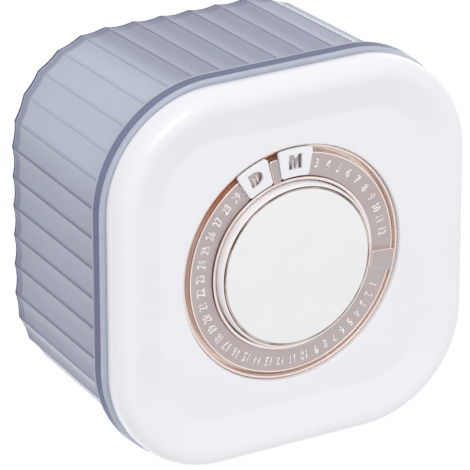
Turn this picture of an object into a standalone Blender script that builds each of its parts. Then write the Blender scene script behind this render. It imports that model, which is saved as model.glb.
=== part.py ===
"""Square milk powder canister: a fluted clear tub and a push-button lid with a date dial.

The object stands on its base, lid up, in metres. +X and +Y run along the sides of the
square and +Z is the axis of the lid, the button and both date sliders.
Angles named *_CLOCK are in degrees, clockwise from +Y as seen from above.
"""

import math

import bmesh
import bpy
from mathutils import Vector

MM = 0.001
TAU = 2.0 * math.pi

# Gaps between pieces
SEAT_GAP = 0.3 * MM
SLIDE_GAP = 0.35 * MM

# The lid's width sets the width of the tub, the plug and the wedge plate
LID_HALF = 66.0 * MM

# Tub
TUB_HEIGHT = 72.5 * MM
TUB_CORNER = 38.2 * MM
TUB_TAPER = 2.4 * MM
LID_OVER_TUB = 1.2 * MM
TUB_TOP_HALF = LID_HALF - LID_OVER_TUB
TUB_BASE_HALF = TUB_TOP_HALF - TUB_TAPER
TUB_STRAIGHT = TUB_TOP_HALF - TUB_CORNER
TUB_WALL = 2.4 * MM
TUB_FLOOR = 3.0 * MM
TUB_FOOT_ROUND = 1.8 * MM
FLUTES_PER_SIDE = 5
FLUTES_PER_CORNER = 6
FLUTE_STEPS = 3
FLUTE_DEPTH = 0.8 * MM
FLUTE_FADE = 3.0 * MM
RIM_HEIGHT = 6.4 * MM
RIM_OVERHANG = 3.0 * MM
RIM_TAPER = 0.7 * MM

# Lid cover
LID_CORNER = 38.0 * MM
LID_STRAIGHT = LID_HALF - LID_CORNER
LID_RISE = 9.6 * MM
LID_EDGE_ROUND = 4.6 * MM
LID_WALL = 2.2 * MM
DISH_DEPTH = 2.8 * MM
DISH_RIM = 6.0 * MM
DISH_SLOPE = 10.5 * MM
DISH_RIM_HALF = LID_HALF - DISH_RIM
DISH_HALF = DISH_RIM_HALF - DISH_SLOPE
LID_SIDE_STEPS = 6
LID_CORNER_STEPS = 8

# Date dial: the band between its edge and the button sets how wide the sliders are
DIAL_RADIUS = 41.0 * MM
DIAL_BAND = 12.2 * MM
DIAL_WALL = 0.8 * MM
DIAL_WALL_DROP = 1.4 * MM
DIAL_FACE_DEPTH = 1.0 * MM
DIAL_GROOVE_WIDTH = 1.6 * MM
DIAL_FACE_OUTER = DIAL_RADIUS - DIAL_WALL - DIAL_GROOVE_WIDTH
DIAL_GROOVE_DEPTH = 4.4 * MM
DIAL_UNDERCUT = 0.8 * MM
DIAL_UNDERCUT_HEIGHT = 1.2 * MM
DIAL_RING_RISE = 0.9 * MM
DIAL_RING_WIDTH = 1.4 * MM
DIAL_BODY_DEPTH = 5.8 * MM
DIAL_FLANGE_REACH = 5.6 * MM
DIAL_FLANGE_RADIUS = DIAL_RADIUS + DIAL_FLANGE_REACH
DIAL_FLANGE = 1.9 * MM
STOP_RISE = 1.5 * MM
TOP_STOP_CLOCK = 348.3
TOP_STOP_SPAN = 4.4
SIDE_STOP_CLOCK = 99.8
SIDE_STOP_SPAN = 11.6

# Date sliders
DAY_CLOCK = 336.7
DAY_SPAN = 17.2
MONTH_CLOCK = 0.6
MONTH_SPAN = 18.8
SLIDER_CORNER = 1.1 * MM
SLIDER_PROUD = 0.8 * MM
SLIDER_EDGE = 0.25 * MM
HOOK_THICKNESS = 0.6 * MM
HOOK_REACH = 0.5 * MM
HOOK_LEG = 0.9 * MM
HOOK_SHARE = 0.7
WINDOW_WIDTH = 4.9 * MM
WINDOW_HEIGHT = 5.2 * MM
LETTER_STROKE = 1.45 * MM
LETTER_FOOT = 0.7 * MM

# Push button
BUTTON_RADIUS = DIAL_RADIUS - DIAL_BAND
BUTTON_PROUD = 2.6 * MM
BUTTON_WALL = 1.8 * MM
BUTTON_TOP_ROUND = 1.2 * MM
BUTTON_TOP_PLATE = 1.7 * MM
BUTTON_FLANGE_REACH = 1.7 * MM
BUTTON_FLANGE = 1.2 * MM
BUTTON_LIP = 1.0 * MM
CAP_RECESS = 1.3 * MM
CAP_PROUD = 0.4 * MM
CAP_CROWN = 0.25 * MM
TRIM_WIDTH = 0.4 * MM
TRIM_PROUD = 0.25 * MM
PRESS_TRAVEL = 1.5 * MM

# Seal plug under the lid
PLUG_DEPTH = 12.5 * MM
PLUG_FLOOR = 3.0 * MM
PLUG_WALL = 1.6 * MM
PLUG_LIP = 1.1 * MM
PLUG_FLANGE = 1.7 * MM
GASKET_HEIGHT = 5.3 * MM
WEDGE_THICKNESS = 2.6 * MM
WEDGE_GAP = 0.9 * MM
WEDGE_HOLE = 13.0 * MM
PAD_WIDTH = 5.4 * MM
PAD_OFFSET = 11.0 * MM
PAD_CLEARANCE = 0.5 * MM

# Latch in the middle of the lid
SLEEVE_BORE = 6.3 * MM
SLEEVE_WALL = 1.5 * MM
SLEEVE_HEIGHT = 11.5 * MM
SLEEVE_FLANGE = 9.0 * MM
SLEEVE_FLOOR = 1.6 * MM
ROTOR_RADIUS = 5.9 * MM
ROTOR_CORE = 4.6 * MM
ROTOR_HEIGHT = 4.0 * MM
ROTOR_BORE = 2.5 * MM
ROTOR_LUGS = 4
STEM_RADIUS = 4.2 * MM
STEM_FOOT = 8.0 * MM
STEM_FOOT_HEIGHT = 1.6 * MM
SPRING_RADIUS = 10.2 * MM
SPRING_WIRE = 1.2 * MM
SPRING_TURNS = 6
SPRING_POINTS_PER_TURN = 10

# Screws
BOSS_RADIUS = 3.5 * MM
BOSS_GAP = 3.6 * MM
SCREW_SHANK = 1.2 * MM
SCREW_HEAD = 2.7 * MM
SCREW_HEAD_HEIGHT = 1.2 * MM
SCREW_LENGTH = 9.0 * MM
PLATE_SCREW_INSET = 3.0 * MM
PLATE_SCREW_LENGTH = 6.0 * MM
TRAY_SCREW_SHANK = 0.8 * MM
TRAY_SCREW_HEAD = 1.7 * MM
TRAY_SCREW_HEAD_HEIGHT = 1.0 * MM
SLEEVE_SCREW_LENGTH = 2.6 * MM

# Radii and places that follow from the sizes above
TRAY_BORE = BUTTON_RADIUS + SLIDE_GAP
RING_OUTER = TRAY_BORE + DIAL_RING_WIDTH
SLIDER_INNER = RING_OUTER + SLIDE_GAP + 0.2 * MM
SLIDER_OUTER = DIAL_RADIUS + SEAT_GAP - SLIDE_GAP
WINDOW_RADIUS = (SLIDER_INNER + SLIDER_OUTER) / 2 + 0.2 * MM
CAP_RADIUS = BUTTON_RADIUS - BUTTON_LIP - TRIM_WIDTH - 2 * SEAT_GAP
TRAY_SCREW_RADIUS = (DIAL_RADIUS + 0.5 * MM + DIAL_FLANGE_RADIUS) / 2
BOSS_CIRCLE = DIAL_FLANGE_RADIUS + BOSS_GAP + BOSS_RADIUS
BOSS_OFFSET = BOSS_CIRCLE / math.sqrt(2.0)
PLATE_SCREW_OFFSET = (BUTTON_RADIUS - BUTTON_WALL - PLATE_SCREW_INSET) / math.sqrt(2.0)

# Heights that follow from the sizes above
LID_BOTTOM = TUB_HEIGHT + SEAT_GAP
LID_TOP = LID_BOTTOM + LID_RISE
DISH_Z = LID_TOP - DISH_DEPTH
COVER_UNDER = DISH_Z - LID_WALL
FACE_Z = DISH_Z - DIAL_FACE_DEPTH
GROOVE_Z = DISH_Z - DIAL_GROOVE_DEPTH
TRAY_UNDER = DISH_Z - DIAL_BODY_DEPTH
TRAY_FLANGE_TOP = COVER_UNDER - SEAT_GAP
TRAY_FLANGE_UNDER = TRAY_FLANGE_TOP - DIAL_FLANGE
PLUG_BOTTOM = TUB_HEIGHT - PLUG_DEPTH
PLUG_FLOOR_TOP = PLUG_BOTTOM + PLUG_FLOOR
WEDGE_BOTTOM = PLUG_FLOOR_TOP + PRESS_TRAVEL + SEAT_GAP
WEDGE_TOP = WEDGE_BOTTOM + WEDGE_THICKNESS
BUTTON_BOTTOM = WEDGE_TOP + SEAT_GAP
BUTTON_TOP = DISH_Z + BUTTON_PROUD
CAP_SEAT = BUTTON_TOP - CAP_RECESS
BUTTON_UNDER = CAP_SEAT - BUTTON_TOP_PLATE
POP_TRAVEL = TRAY_UNDER - (BUTTON_BOTTOM + BUTTON_FLANGE) - SEAT_GAP
SLEEVE_BOTTOM = PLUG_FLOOR_TOP + SEAT_GAP
ROTOR_BOTTOM = SLEEVE_BOTTOM + SLEEVE_FLOOR + PRESS_TRAVEL + SEAT_GAP
BOSS_BOTTOM = PLUG_FLOOR_TOP + SEAT_GAP

PARTS = "milk_powder_canister"
CUTTERS = "cutters"


def clear_scene():
    """Remove whatever the file holds at the start."""
    for found in list(bpy.data.objects):
        bpy.data.objects.remove(found, do_unlink=True)


def collection(name, hidden=False):
    """Return a new collection linked to the scene."""
    made = bpy.data.collections.new(name)
    bpy.context.scene.collection.children.link(made)
    made.hide_render = hidden
    return made


def plastic(name, colour, roughness, metallic=0.0, alpha=1.0, transmission=0.0):
    """Return a Principled material."""
    made = bpy.data.materials.new(name)
    made.use_nodes = True
    shader = made.node_tree.nodes["Principled BSDF"]
    shader.inputs["Base Color"].default_value = (*colour, 1.0)
    shader.inputs["Roughness"].default_value = roughness
    shader.inputs["Metallic"].default_value = metallic
    shader.inputs["Alpha"].default_value = alpha
    shader.inputs["Transmission Weight"].default_value = transmission
    made.diffuse_color = (*colour, alpha)
    return made


def place(name, mesh, material, parent=None):
    """Make a part from a mesh and smooth its round faces."""
    made = bpy.data.objects.new(name, mesh)
    bpy.data.collections[PARTS].objects.link(made)
    mesh.materials.clear()
    mesh.materials.append(material)
    mesh.shade_smooth()
    mesh.set_sharp_from_angle(angle=math.radians(32))
    made.parent = parent
    return made


def axis_empty(name, at):
    """Return an empty that marks a joint's axis."""
    made = bpy.data.objects.new(name, None)
    bpy.data.collections[PARTS].objects.link(made)
    made.location = at
    made.empty_display_size = 10 * MM
    return made


def helper(name, mesh):
    """Make a shape that is only used by a Boolean."""
    made = bpy.data.objects.new(name, mesh)
    bpy.data.collections[CUTTERS].objects.link(made)
    made.hide_render = True
    made.display_type = "WIRE"
    return made


def combine(target, other, operation):
    """Add a Boolean modifier to a part."""
    modifier = target.modifiers.new(other.name, "BOOLEAN")
    modifier.operation = operation
    modifier.object = other
    modifier.solver = "EXACT"


def clock_angle(clock):
    """Turn a clockwise angle from +Y in degrees into radians anticlockwise from +X."""
    return math.radians(90.0 - clock)


def rounded_square(half, straight, side_steps, corner_steps):
    """Return the points of a rounded square, anticlockwise from the middle corner of -Y."""
    radius = half - straight
    points = []
    for quarter in range(4):
        turn = quarter * TAU / 4
        along = Vector((math.cos(turn), math.sin(turn)))
        outward = Vector((math.sin(turn), -math.cos(turn)))
        for step in range(side_steps):
            share = step / side_steps
            points.append(along * straight * (2 * share - 1) + outward * half)
        centre = along * straight + outward * straight
        for step in range(corner_steps):
            swing = TAU / 4 * step / corner_steps
            arm = outward * math.cos(swing) + along * math.sin(swing)
            points.append(centre + arm * radius)
    return points


def fluted_square(half, straight, depth):
    """Return a rounded square whose outline dips inwards between ridges."""
    smooth = rounded_square(half, straight, FLUTES_PER_SIDE * FLUTE_STEPS, FLUTES_PER_CORNER * FLUTE_STEPS)
    count = len(smooth)
    points = []
    for index, point in enumerate(smooth):
        dip = depth * math.sin(math.pi * (index % FLUTE_STEPS) / FLUTE_STEPS)
        run = (smooth[(index + 1) % count] - smooth[index - 1]).normalized()
        points.append(point - Vector((run.y, -run.x)) * dip)
    return points


def on_circle(points, radius):
    """Return the points moved along their own directions onto a circle."""
    return [point.normalized() * radius for point in points]


def loft(name, rings, closed=False):
    """Join rings of (points, z) into one closed surface.

    An open loft is capped at both ends. A closed loft joins its last ring to its first.
    """
    shell = bmesh.new()
    rows = [[shell.verts.new((x, y, z)) for x, y in points] for points, z in rings]
    pairs = list(zip(rows, rows[1:]))
    if closed:
        pairs.append((rows[-1], rows[0]))
    else:
        shell.faces.new(rows[0])
        shell.faces.new(rows[-1])
    for low, high in pairs:
        count = len(low)
        for index in range(count):
            after = (index + 1) % count
            shell.faces.new((low[index], low[after], high[after], high[index]))
    bmesh.ops.recalc_face_normals(shell, faces=shell.faces)
    mesh = bpy.data.meshes.new(name)
    shell.to_mesh(mesh)
    shell.free()
    return mesh


def turned(name, profile, material, parent=None, steps=48, ring=False):
    """Make a turned part from (radius, z) points that run down its outer side."""
    outline = bmesh.new()
    points = [outline.verts.new((radius, 0.0, z)) for radius, z in profile]
    for start, end in zip(points, points[1:]):
        outline.edges.new((start, end))
    if ring:
        outline.edges.new((points[-1], points[0]))
    mesh = bpy.data.meshes.new(name)
    outline.to_mesh(mesh)
    outline.free()
    made = place(name, mesh, material, parent)
    screw = made.modifiers.new("turn", "SCREW")
    screw.axis = "Z"
    screw.angle = TAU
    screw.steps = steps
    screw.render_steps = steps
    screw.use_merge_vertices = True
    screw.merge_threshold = 0.00001
    screw.use_smooth_shade = True
    return made


def cylinder(name, radius, low, high, at=(0.0, 0.0), sides=16):
    """Return the mesh of an upright cylinder between two heights."""
    solid = bmesh.new()
    bmesh.ops.create_cone(
        solid, cap_ends=True, segments=sides, radius1=radius, radius2=radius, depth=high - low
    )
    bmesh.ops.translate(solid, verts=solid.verts, vec=(at[0], at[1], (low + high) / 2))
    mesh = bpy.data.meshes.new(name)
    solid.to_mesh(mesh)
    solid.free()
    return mesh


def block(name, low, high):
    """Return the mesh of a box between two corners."""
    solid = bmesh.new()
    bmesh.ops.create_cube(solid, size=1.0)
    size = [b - a for a, b in zip(low, high)]
    middle = [(a + b) / 2 for a, b in zip(low, high)]
    bmesh.ops.scale(solid, verts=solid.verts, vec=size)
    bmesh.ops.translate(solid, verts=solid.verts, vec=middle)
    mesh = bpy.data.meshes.new(name)
    solid.to_mesh(mesh)
    solid.free()
    return mesh


def sector_outline(inner, outer, half_angle, corner, inset=0.0, arc_steps=6, corner_steps=3):
    """Return a piece of a ring, centred on +Y, with rounded corners, anticlockwise."""
    inner += inset
    outer -= inset
    radius = corner - inset
    points = []

    def round_corner(side, centre_radius, start):
        reach = half_angle - (inset + radius) / centre_radius
        for step in range(corner_steps + 1):
            swing = start + TAU / 4 * step / corner_steps
            distance = centre_radius + radius * math.sin(swing)
            angle = side * reach + radius * math.cos(swing) / distance
            points.append((distance, angle))

    round_corner(1, inner + radius, -TAU / 4)
    round_corner(1, outer - radius, 0.0)
    reach = half_angle - (inset + radius) / (outer - radius)
    for step in range(1, arc_steps):
        points.append((outer, reach * (1 - 2 * step / arc_steps)))
    round_corner(-1, outer - radius, TAU / 4)
    round_corner(-1, inner + radius, TAU / 2)
    reach = half_angle - (inset + radius) / (inner + radius)
    for step in range(1, arc_steps):
        points.append((inner, reach * (2 * step / arc_steps - 1)))
    return [(distance * math.sin(angle), distance * math.cos(angle)) for distance, angle in points]


def turned_to(points, clock):
    """Turn points drawn around +Y to a clockwise angle."""
    swing = -math.radians(clock)
    cosine, sine = math.cos(swing), math.sin(swing)
    return [(x * cosine - y * sine, x * sine + y * cosine) for x, y in points]


def tub_half(z):
    """Return the half width of the tub's ridges at a height."""
    share = z / (TUB_HEIGHT - RIM_HEIGHT)
    return TUB_BASE_HALF + (TUB_TOP_HALF - TUB_BASE_HALF) * share


def mouth_half(z):
    """Return the half width inside the tub at a height."""
    return tub_half(min(z, TUB_HEIGHT - RIM_HEIGHT)) - TUB_WALL


def build_tub(material):
    """Fluted wall, flared rim band and flat base, as one lofted shell."""
    rim_low = TUB_HEIGHT - RIM_HEIGHT
    rings = []

    def outer(z, inset=0.0, depth=0.0, half=None):
        reach = (tub_half(z) if half is None else half) - inset
        rings.append((fluted_square(reach, TUB_STRAIGHT, depth), z))

    outer(0.0, inset=TUB_FOOT_ROUND, depth=FLUTE_DEPTH)
    outer(TUB_FOOT_ROUND * 0.3, inset=TUB_FOOT_ROUND * 0.3, depth=FLUTE_DEPTH)
    outer(TUB_FOOT_ROUND, depth=FLUTE_DEPTH)
    for share in (0.0, 0.6, 0.9, 1.0):
        z = rim_low - FLUTE_FADE * (1.0 - share)
        outer(z, depth=FLUTE_DEPTH * math.sqrt(1.0 - share * share))
    lip = TUB_TOP_HALF + RIM_OVERHANG
    outer(rim_low + SEAT_GAP, half=lip - SEAT_GAP)
    outer(rim_low + 1.2 * MM, half=lip)
    outer(TUB_HEIGHT - 0.4 * MM, half=lip - RIM_TAPER)
    outer(TUB_HEIGHT, half=lip - RIM_TAPER - 0.4 * MM)
    outer(TUB_HEIGHT, half=mouth_half(TUB_HEIGHT))
    outer(rim_low, half=mouth_half(rim_low))
    outer(TUB_FLOOR + 2.0 * MM, half=mouth_half(TUB_FLOOR + 2.0 * MM))
    outer(TUB_FLOOR + 0.5 * MM, half=mouth_half(TUB_FLOOR) - 0.6 * MM)
    outer(TUB_FLOOR, half=mouth_half(TUB_FLOOR) - 2.0 * MM)
    return place("tub", loft("tub", rings), material)


def lid_ring(half, z):
    """Return one ring of the lid's square outline."""
    straight = min(LID_STRAIGHT, half - 12 * MM)
    return rounded_square(half, straight, LID_SIDE_STEPS, LID_CORNER_STEPS), z


def build_lid_cover(material, parent):
    """Dished cover with a rolled edge, a round hole for the dial and four screw bosses."""
    base = rounded_square(LID_HALF, LID_STRAIGHT, LID_SIDE_STEPS, LID_CORNER_STEPS)
    hole = on_circle(base, DIAL_RADIUS + SEAT_GAP)
    shoulder = LID_TOP - LID_EDGE_ROUND
    slope = DISH_RIM_HALF - DISH_HALF
    rings = [(hole, DISH_Z), lid_ring(DISH_HALF, DISH_Z)]
    for share in (0.3, 0.7, 1.0):
        lift = DISH_DEPTH * (0.5 - 0.5 * math.cos(math.pi * share))
        rings.append(lid_ring(DISH_HALF + slope * share, DISH_Z + lift))
    for share in (0.0, 0.35, 0.7, 1.0):
        swing = TAU / 4 * share
        half = LID_HALF - LID_EDGE_ROUND * (1 - math.sin(swing))
        rings.append(lid_ring(half, shoulder + LID_EDGE_ROUND * math.cos(swing)))
    rings.append(lid_ring(LID_HALF, LID_BOTTOM + 0.5 * MM))
    rings.append(lid_ring(LID_HALF - 0.4 * MM, LID_BOTTOM))
    inside = LID_HALF - LID_WALL
    rings.append(lid_ring(inside, LID_BOTTOM))
    rings.append(lid_ring(inside, shoulder))
    rings.append(lid_ring(inside - LID_EDGE_ROUND * 0.5, LID_TOP - LID_WALL))
    rings.append(lid_ring(DISH_RIM_HALF - slope * 0.2, LID_TOP - LID_WALL - 0.3 * MM))
    rings.append(lid_ring(DISH_HALF, COVER_UNDER))
    rings.append((hole, COVER_UNDER))
    cover = place("lid_cover", loft("lid_cover", rings, closed=True), material, parent)
    for index, (x, y) in enumerate(boss_places()):
        boss = cylinder("boss", BOSS_RADIUS, BOSS_BOTTOM, COVER_UNDER + 1.0 * MM, (x, y))
        combine(cover, helper(f"cover_boss_{index + 1}", boss), "UNION")
        pilot_top = PLUG_BOTTOM + SCREW_HEAD_HEIGHT + SCREW_LENGTH + 1.0 * MM
        pilot = cylinder("pilot", SCREW_SHANK + SEAT_GAP, BOSS_BOTTOM - MM, pilot_top, (x, y), 12)
        combine(cover, helper(f"cover_pilot_{index + 1}", pilot), "DIFFERENCE")
    for index, (x, y) in enumerate(tray_screw_places()):
        pilot = cylinder(
            "pilot", TRAY_SCREW_SHANK + SEAT_GAP, COVER_UNDER - MM, DISH_Z - 0.8 * MM, (x, y), 12
        )
        combine(cover, helper(f"tray_pilot_{index + 1}", pilot), "DIFFERENCE")
    return cover


def boss_places():
    """Return the four screw places around the lid."""
    return [(sx * BOSS_OFFSET, sy * BOSS_OFFSET) for sx in (-1, 1) for sy in (-1, 1)]


def tray_screw_places():
    """Return the four screw places in the dial's flange."""
    return [
        (TRAY_SCREW_RADIUS * math.cos(turn * TAU / 4), TRAY_SCREW_RADIUS * math.sin(turn * TAU / 4))
        for turn in range(4)
    ]


def plate_screw_places():
    """Return the four screw places in the wedge plate."""
    return [(sx * PLATE_SCREW_OFFSET, sy * PLATE_SCREW_OFFSET) for sx in (-1, 1) for sy in (-1, 1)]


def build_dial_tray(material, parent):
    """Turned tray: outer wall with an undercut groove, flat number face and inner ring."""
    wall = DIAL_RADIUS - DIAL_WALL
    wall_top = DISH_Z - DIAL_WALL_DROP
    profile = [
        (DIAL_RADIUS - 0.25 * MM, wall_top),
        (DIAL_RADIUS, wall_top - 0.25 * MM),
        (DIAL_RADIUS, TRAY_FLANGE_TOP),
        (DIAL_FLANGE_RADIUS, TRAY_FLANGE_TOP),
        (DIAL_FLANGE_RADIUS, TRAY_FLANGE_UNDER),
        (DIAL_RADIUS + 1.0 * MM, TRAY_FLANGE_UNDER),
        (DIAL_RADIUS - 0.5 * MM, TRAY_UNDER),
        (TRAY_BORE, TRAY_UNDER),
        (TRAY_BORE, FACE_Z + DIAL_RING_RISE - 0.4 * MM),
        (TRAY_BORE + 0.4 * MM, FACE_Z + DIAL_RING_RISE),
        (RING_OUTER - 0.3 * MM, FACE_Z + DIAL_RING_RISE),
        (RING_OUTER, FACE_Z),
        (DIAL_FACE_OUTER, FACE_Z),
        (DIAL_FACE_OUTER, GROOVE_Z),
        (wall + DIAL_UNDERCUT, GROOVE_Z),
        (wall + DIAL_UNDERCUT, GROOVE_Z + DIAL_UNDERCUT_HEIGHT),
        (wall, GROOVE_Z + DIAL_UNDERCUT_HEIGHT),
        (wall, wall_top - 0.2 * MM),
    ]
    tray = turned("dial_tray", profile, material, parent, steps=64, ring=True)
    stops = (
        ("top_stop", TOP_STOP_CLOCK, TOP_STOP_SPAN, 0.5 * MM),
        ("side_stop", SIDE_STOP_CLOCK, SIDE_STOP_SPAN, 1.0 * MM),
    )
    for name, clock, span, corner in stops:
        half_angle = math.radians(span / 2)
        inner, outer = RING_OUTER - 0.5 * MM, DIAL_FACE_OUTER - 0.2 * MM
        base = turned_to(sector_outline(inner, outer, half_angle, corner), clock)
        top = turned_to(sector_outline(inner, outer, half_angle, corner, inset=0.2 * MM), clock)
        top_z = FACE_Z + STOP_RISE
        rings = [(base, FACE_Z - 0.5 * MM), (base, top_z - 0.2 * MM), (top, top_z)]
        combine(tray, helper(name, loft(name, rings)), "UNION")
    for index, (x, y) in enumerate(tray_screw_places()):
        hole = cylinder(
            "hole",
            TRAY_SCREW_SHANK + SEAT_GAP,
            TRAY_FLANGE_UNDER - MM,
            TRAY_FLANGE_TOP + SEAT_GAP / 2,
            (x, y),
            12,
        )
        combine(tray, helper(f"tray_hole_{index + 1}", hole), "DIFFERENCE")
    return tray


def letter_window(letter):
    """Return the outline of a window shaped as a letter, centred on the origin, tops at +Y."""
    half_width, half_height = WINDOW_WIDTH / 2, WINDOW_HEIGHT / 2
    if letter == "D":
        points = [(-half_width, -half_height)]
        for step in range(13):
            swing = -TAU / 4 + TAU / 2 * step / 12
            bulge = half_width + half_height * 0.2
            across = -half_width * 0.2 + bulge * math.cos(swing)
            points.append((across, half_height * math.sin(swing)))
        points.append((-half_width, half_height))
        return points
    stroke = LETTER_STROKE
    valley = -half_height * 0.15
    right = [
        (half_width, -half_height),
        (half_width, half_height),
        (half_width - stroke, half_height),
        (0.0, valley + stroke),
    ]
    left = [(-x, y) for x, y in reversed(right[:3])]
    foot = LETTER_FOOT / 2
    inner = [
        (-half_width, -half_height),
        (stroke - half_width, -half_height),
        (stroke - half_width, 0.0),
        (-foot, -half_height),
        (foot, -half_height),
        (half_width - stroke, 0.0),
        (half_width - stroke, -half_height),
    ]
    return right + left[:2] + inner


def build_slider(name, letter, clock, span, material, parent):
    """Slider plate with a letter-shaped window and a hook that runs in the dial's groove."""
    wall = DIAL_RADIUS - DIAL_WALL
    half_angle = math.radians(span / 2)
    low, high = FACE_Z + SEAT_GAP, DISH_Z + SLIDER_PROUD
    ring = (SLIDER_INNER, SLIDER_OUTER, half_angle, SLIDER_CORNER)
    base = turned_to(sector_outline(*ring), clock)
    top = turned_to(sector_outline(*ring, inset=SLIDER_EDGE), clock)
    plate = loft(name, [(base, low), (base, high - SLIDER_EDGE), (top, high)])
    slider = place(name, plate, material, parent)

    hook_low = GROOVE_Z + SEAT_GAP
    hook_high = hook_low + HOOK_THICKNESS
    leg = wall - SLIDE_GAP - HOOK_LEG
    section = [
        (leg, low + 0.2 * MM),
        (leg, hook_low),
        (wall + HOOK_REACH, hook_low),
        (wall + HOOK_REACH, hook_high),
        (leg + HOOK_LEG, hook_high),
        (leg + HOOK_LEG, low + 0.2 * MM),
    ]
    hook = bmesh.new()
    rows = []
    steps = 5
    for step in range(steps + 1):
        angle = clock_angle(clock) + half_angle * HOOK_SHARE * (2 * step / steps - 1)
        rows.append([hook.verts.new((r * math.cos(angle), r * math.sin(angle), z)) for r, z in section])
    hook.faces.new(rows[0])
    hook.faces.new(rows[-1])
    for start, end in zip(rows, rows[1:]):
        for index in range(len(section)):
            after = (index + 1) % len(section)
            hook.faces.new((start[index], start[after], end[after], end[index]))
    bmesh.ops.recalc_face_normals(hook, faces=hook.faces)
    hook_mesh = bpy.data.meshes.new("hook")
    hook.to_mesh(hook_mesh)
    hook.free()
    combine(slider, helper(f"{name}_hook", hook_mesh), "UNION")

    window = [(x, y + WINDOW_RADIUS) for x, y in letter_window(letter)]
    window = turned_to(window, clock)
    cut = loft("window", [(window, low - MM), (window, high + MM)])
    combine(slider, helper(f"{name}_window", cut), "DIFFERENCE")
    return slider


def build_button(shell_material, trim_material, cap_material, stem_material, parent):
    """Button shell with screw bosses, its trim ring, the cap and the stem below it."""
    inside = BUTTON_RADIUS - BUTTON_WALL
    recess = CAP_RADIUS + TRIM_WIDTH + 2 * SEAT_GAP
    profile = [
        (0.0, CAP_SEAT),
        (recess, CAP_SEAT),
        (recess, BUTTON_TOP - 0.2 * MM),
        (recess + 0.2 * MM, BUTTON_TOP),
        (BUTTON_RADIUS - BUTTON_TOP_ROUND * 0.55, BUTTON_TOP - BUTTON_TOP_ROUND * 0.12),
        (BUTTON_RADIUS - BUTTON_TOP_ROUND * 0.15, BUTTON_TOP - BUTTON_TOP_ROUND * 0.5),
        (BUTTON_RADIUS, BUTTON_TOP - BUTTON_TOP_ROUND),
        (BUTTON_RADIUS, BUTTON_BOTTOM + BUTTON_FLANGE),
        (BUTTON_RADIUS + BUTTON_FLANGE_REACH, BUTTON_BOTTOM + BUTTON_FLANGE),
        (BUTTON_RADIUS + BUTTON_FLANGE_REACH, BUTTON_BOTTOM),
        (inside, BUTTON_BOTTOM),
        (inside, BUTTON_UNDER),
        (0.0, BUTTON_UNDER),
    ]
    shell = turned("button_shell", profile, shell_material, parent, steps=56)
    for index, (x, y) in enumerate(plate_screw_places()):
        boss = cylinder("boss", BOSS_RADIUS - 0.5 * MM, BUTTON_BOTTOM, BUTTON_UNDER + 0.5 * MM, (x, y), 12)
        combine(shell, helper(f"button_boss_{index + 1}", boss), "UNION")
        pilot_top = WEDGE_BOTTOM + PLATE_SCREW_LENGTH + SCREW_HEAD_HEIGHT + 1.0 * MM
        pilot = cylinder("pilot", SCREW_SHANK + SEAT_GAP, BUTTON_BOTTOM - MM, pilot_top, (x, y), 10)
        combine(shell, helper(f"button_pilot_{index + 1}", pilot), "DIFFERENCE")

    low = CAP_SEAT + SEAT_GAP
    trim_inner = CAP_RADIUS + SEAT_GAP
    trim_outer = trim_inner + TRIM_WIDTH
    trim_top = BUTTON_TOP + TRIM_PROUD
    trim = [
        (trim_outer - TRIM_WIDTH * 0.3, trim_top),
        (trim_outer, trim_top - TRIM_WIDTH * 0.3),
        (trim_outer, low),
        (trim_inner, low),
        (trim_inner, trim_top - TRIM_WIDTH * 0.3),
        (trim_inner + TRIM_WIDTH * 0.3, trim_top),
    ]
    turned("button_trim_ring", trim, trim_material, parent, steps=56, ring=True)

    cap_top = BUTTON_TOP + CAP_PROUD
    cap = [
        (0.0, cap_top + CAP_CROWN),
        (CAP_RADIUS * 0.5, cap_top + CAP_CROWN * 0.75),
        (CAP_RADIUS - 0.6 * MM, cap_top),
        (CAP_RADIUS, cap_top - 0.5 * MM),
        (CAP_RADIUS, low),
        (0.0, low),
    ]
    turned("button_cap", cap, cap_material, parent, steps=56)

    stem_top = BUTTON_UNDER - SEAT_GAP
    rotor_top = ROTOR_BOTTOM + ROTOR_HEIGHT + SEAT_GAP
    pin = ROTOR_BORE - SEAT_GAP
    stem = [
        (0.0, stem_top),
        (STEM_FOOT, stem_top),
        (STEM_FOOT, stem_top - STEM_FOOT_HEIGHT),
        (STEM_RADIUS, stem_top - STEM_FOOT_HEIGHT),
        (STEM_RADIUS, rotor_top),
        (pin, rotor_top),
        (pin, ROTOR_BOTTOM + 0.4 * MM),
        (0.0, ROTOR_BOTTOM + 0.4 * MM),
    ]
    turned("plunger_stem", stem, stem_material, parent, steps=20)


def build_latch_rotor(material, parent):
    """Ring on the stem's pin, with lugs that turn step by step in the sleeve."""
    top = ROTOR_BOTTOM + ROTOR_HEIGHT
    profile = [(ROTOR_CORE, top), (ROTOR_CORE, ROTOR_BOTTOM), (ROTOR_BORE, ROTOR_BOTTOM), (ROTOR_BORE, top)]
    rotor = turned("latch_rotor", profile, material, parent, steps=24, ring=True)
    lug_half = math.radians(14)
    for index in range(ROTOR_LUGS):
        outline = sector_outline(ROTOR_CORE - 0.6 * MM, ROTOR_RADIUS, lug_half, 0.3 * MM, arc_steps=2, corner_steps=1)
        outline = turned_to(outline, 360.0 * index / ROTOR_LUGS)
        rings = [(outline, ROTOR_BOTTOM + 0.8 * MM), (outline, top - 0.6 * MM)]
        combine(rotor, helper(f"rotor_lug_{index + 1}", loft("lug", rings)), "UNION")


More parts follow.
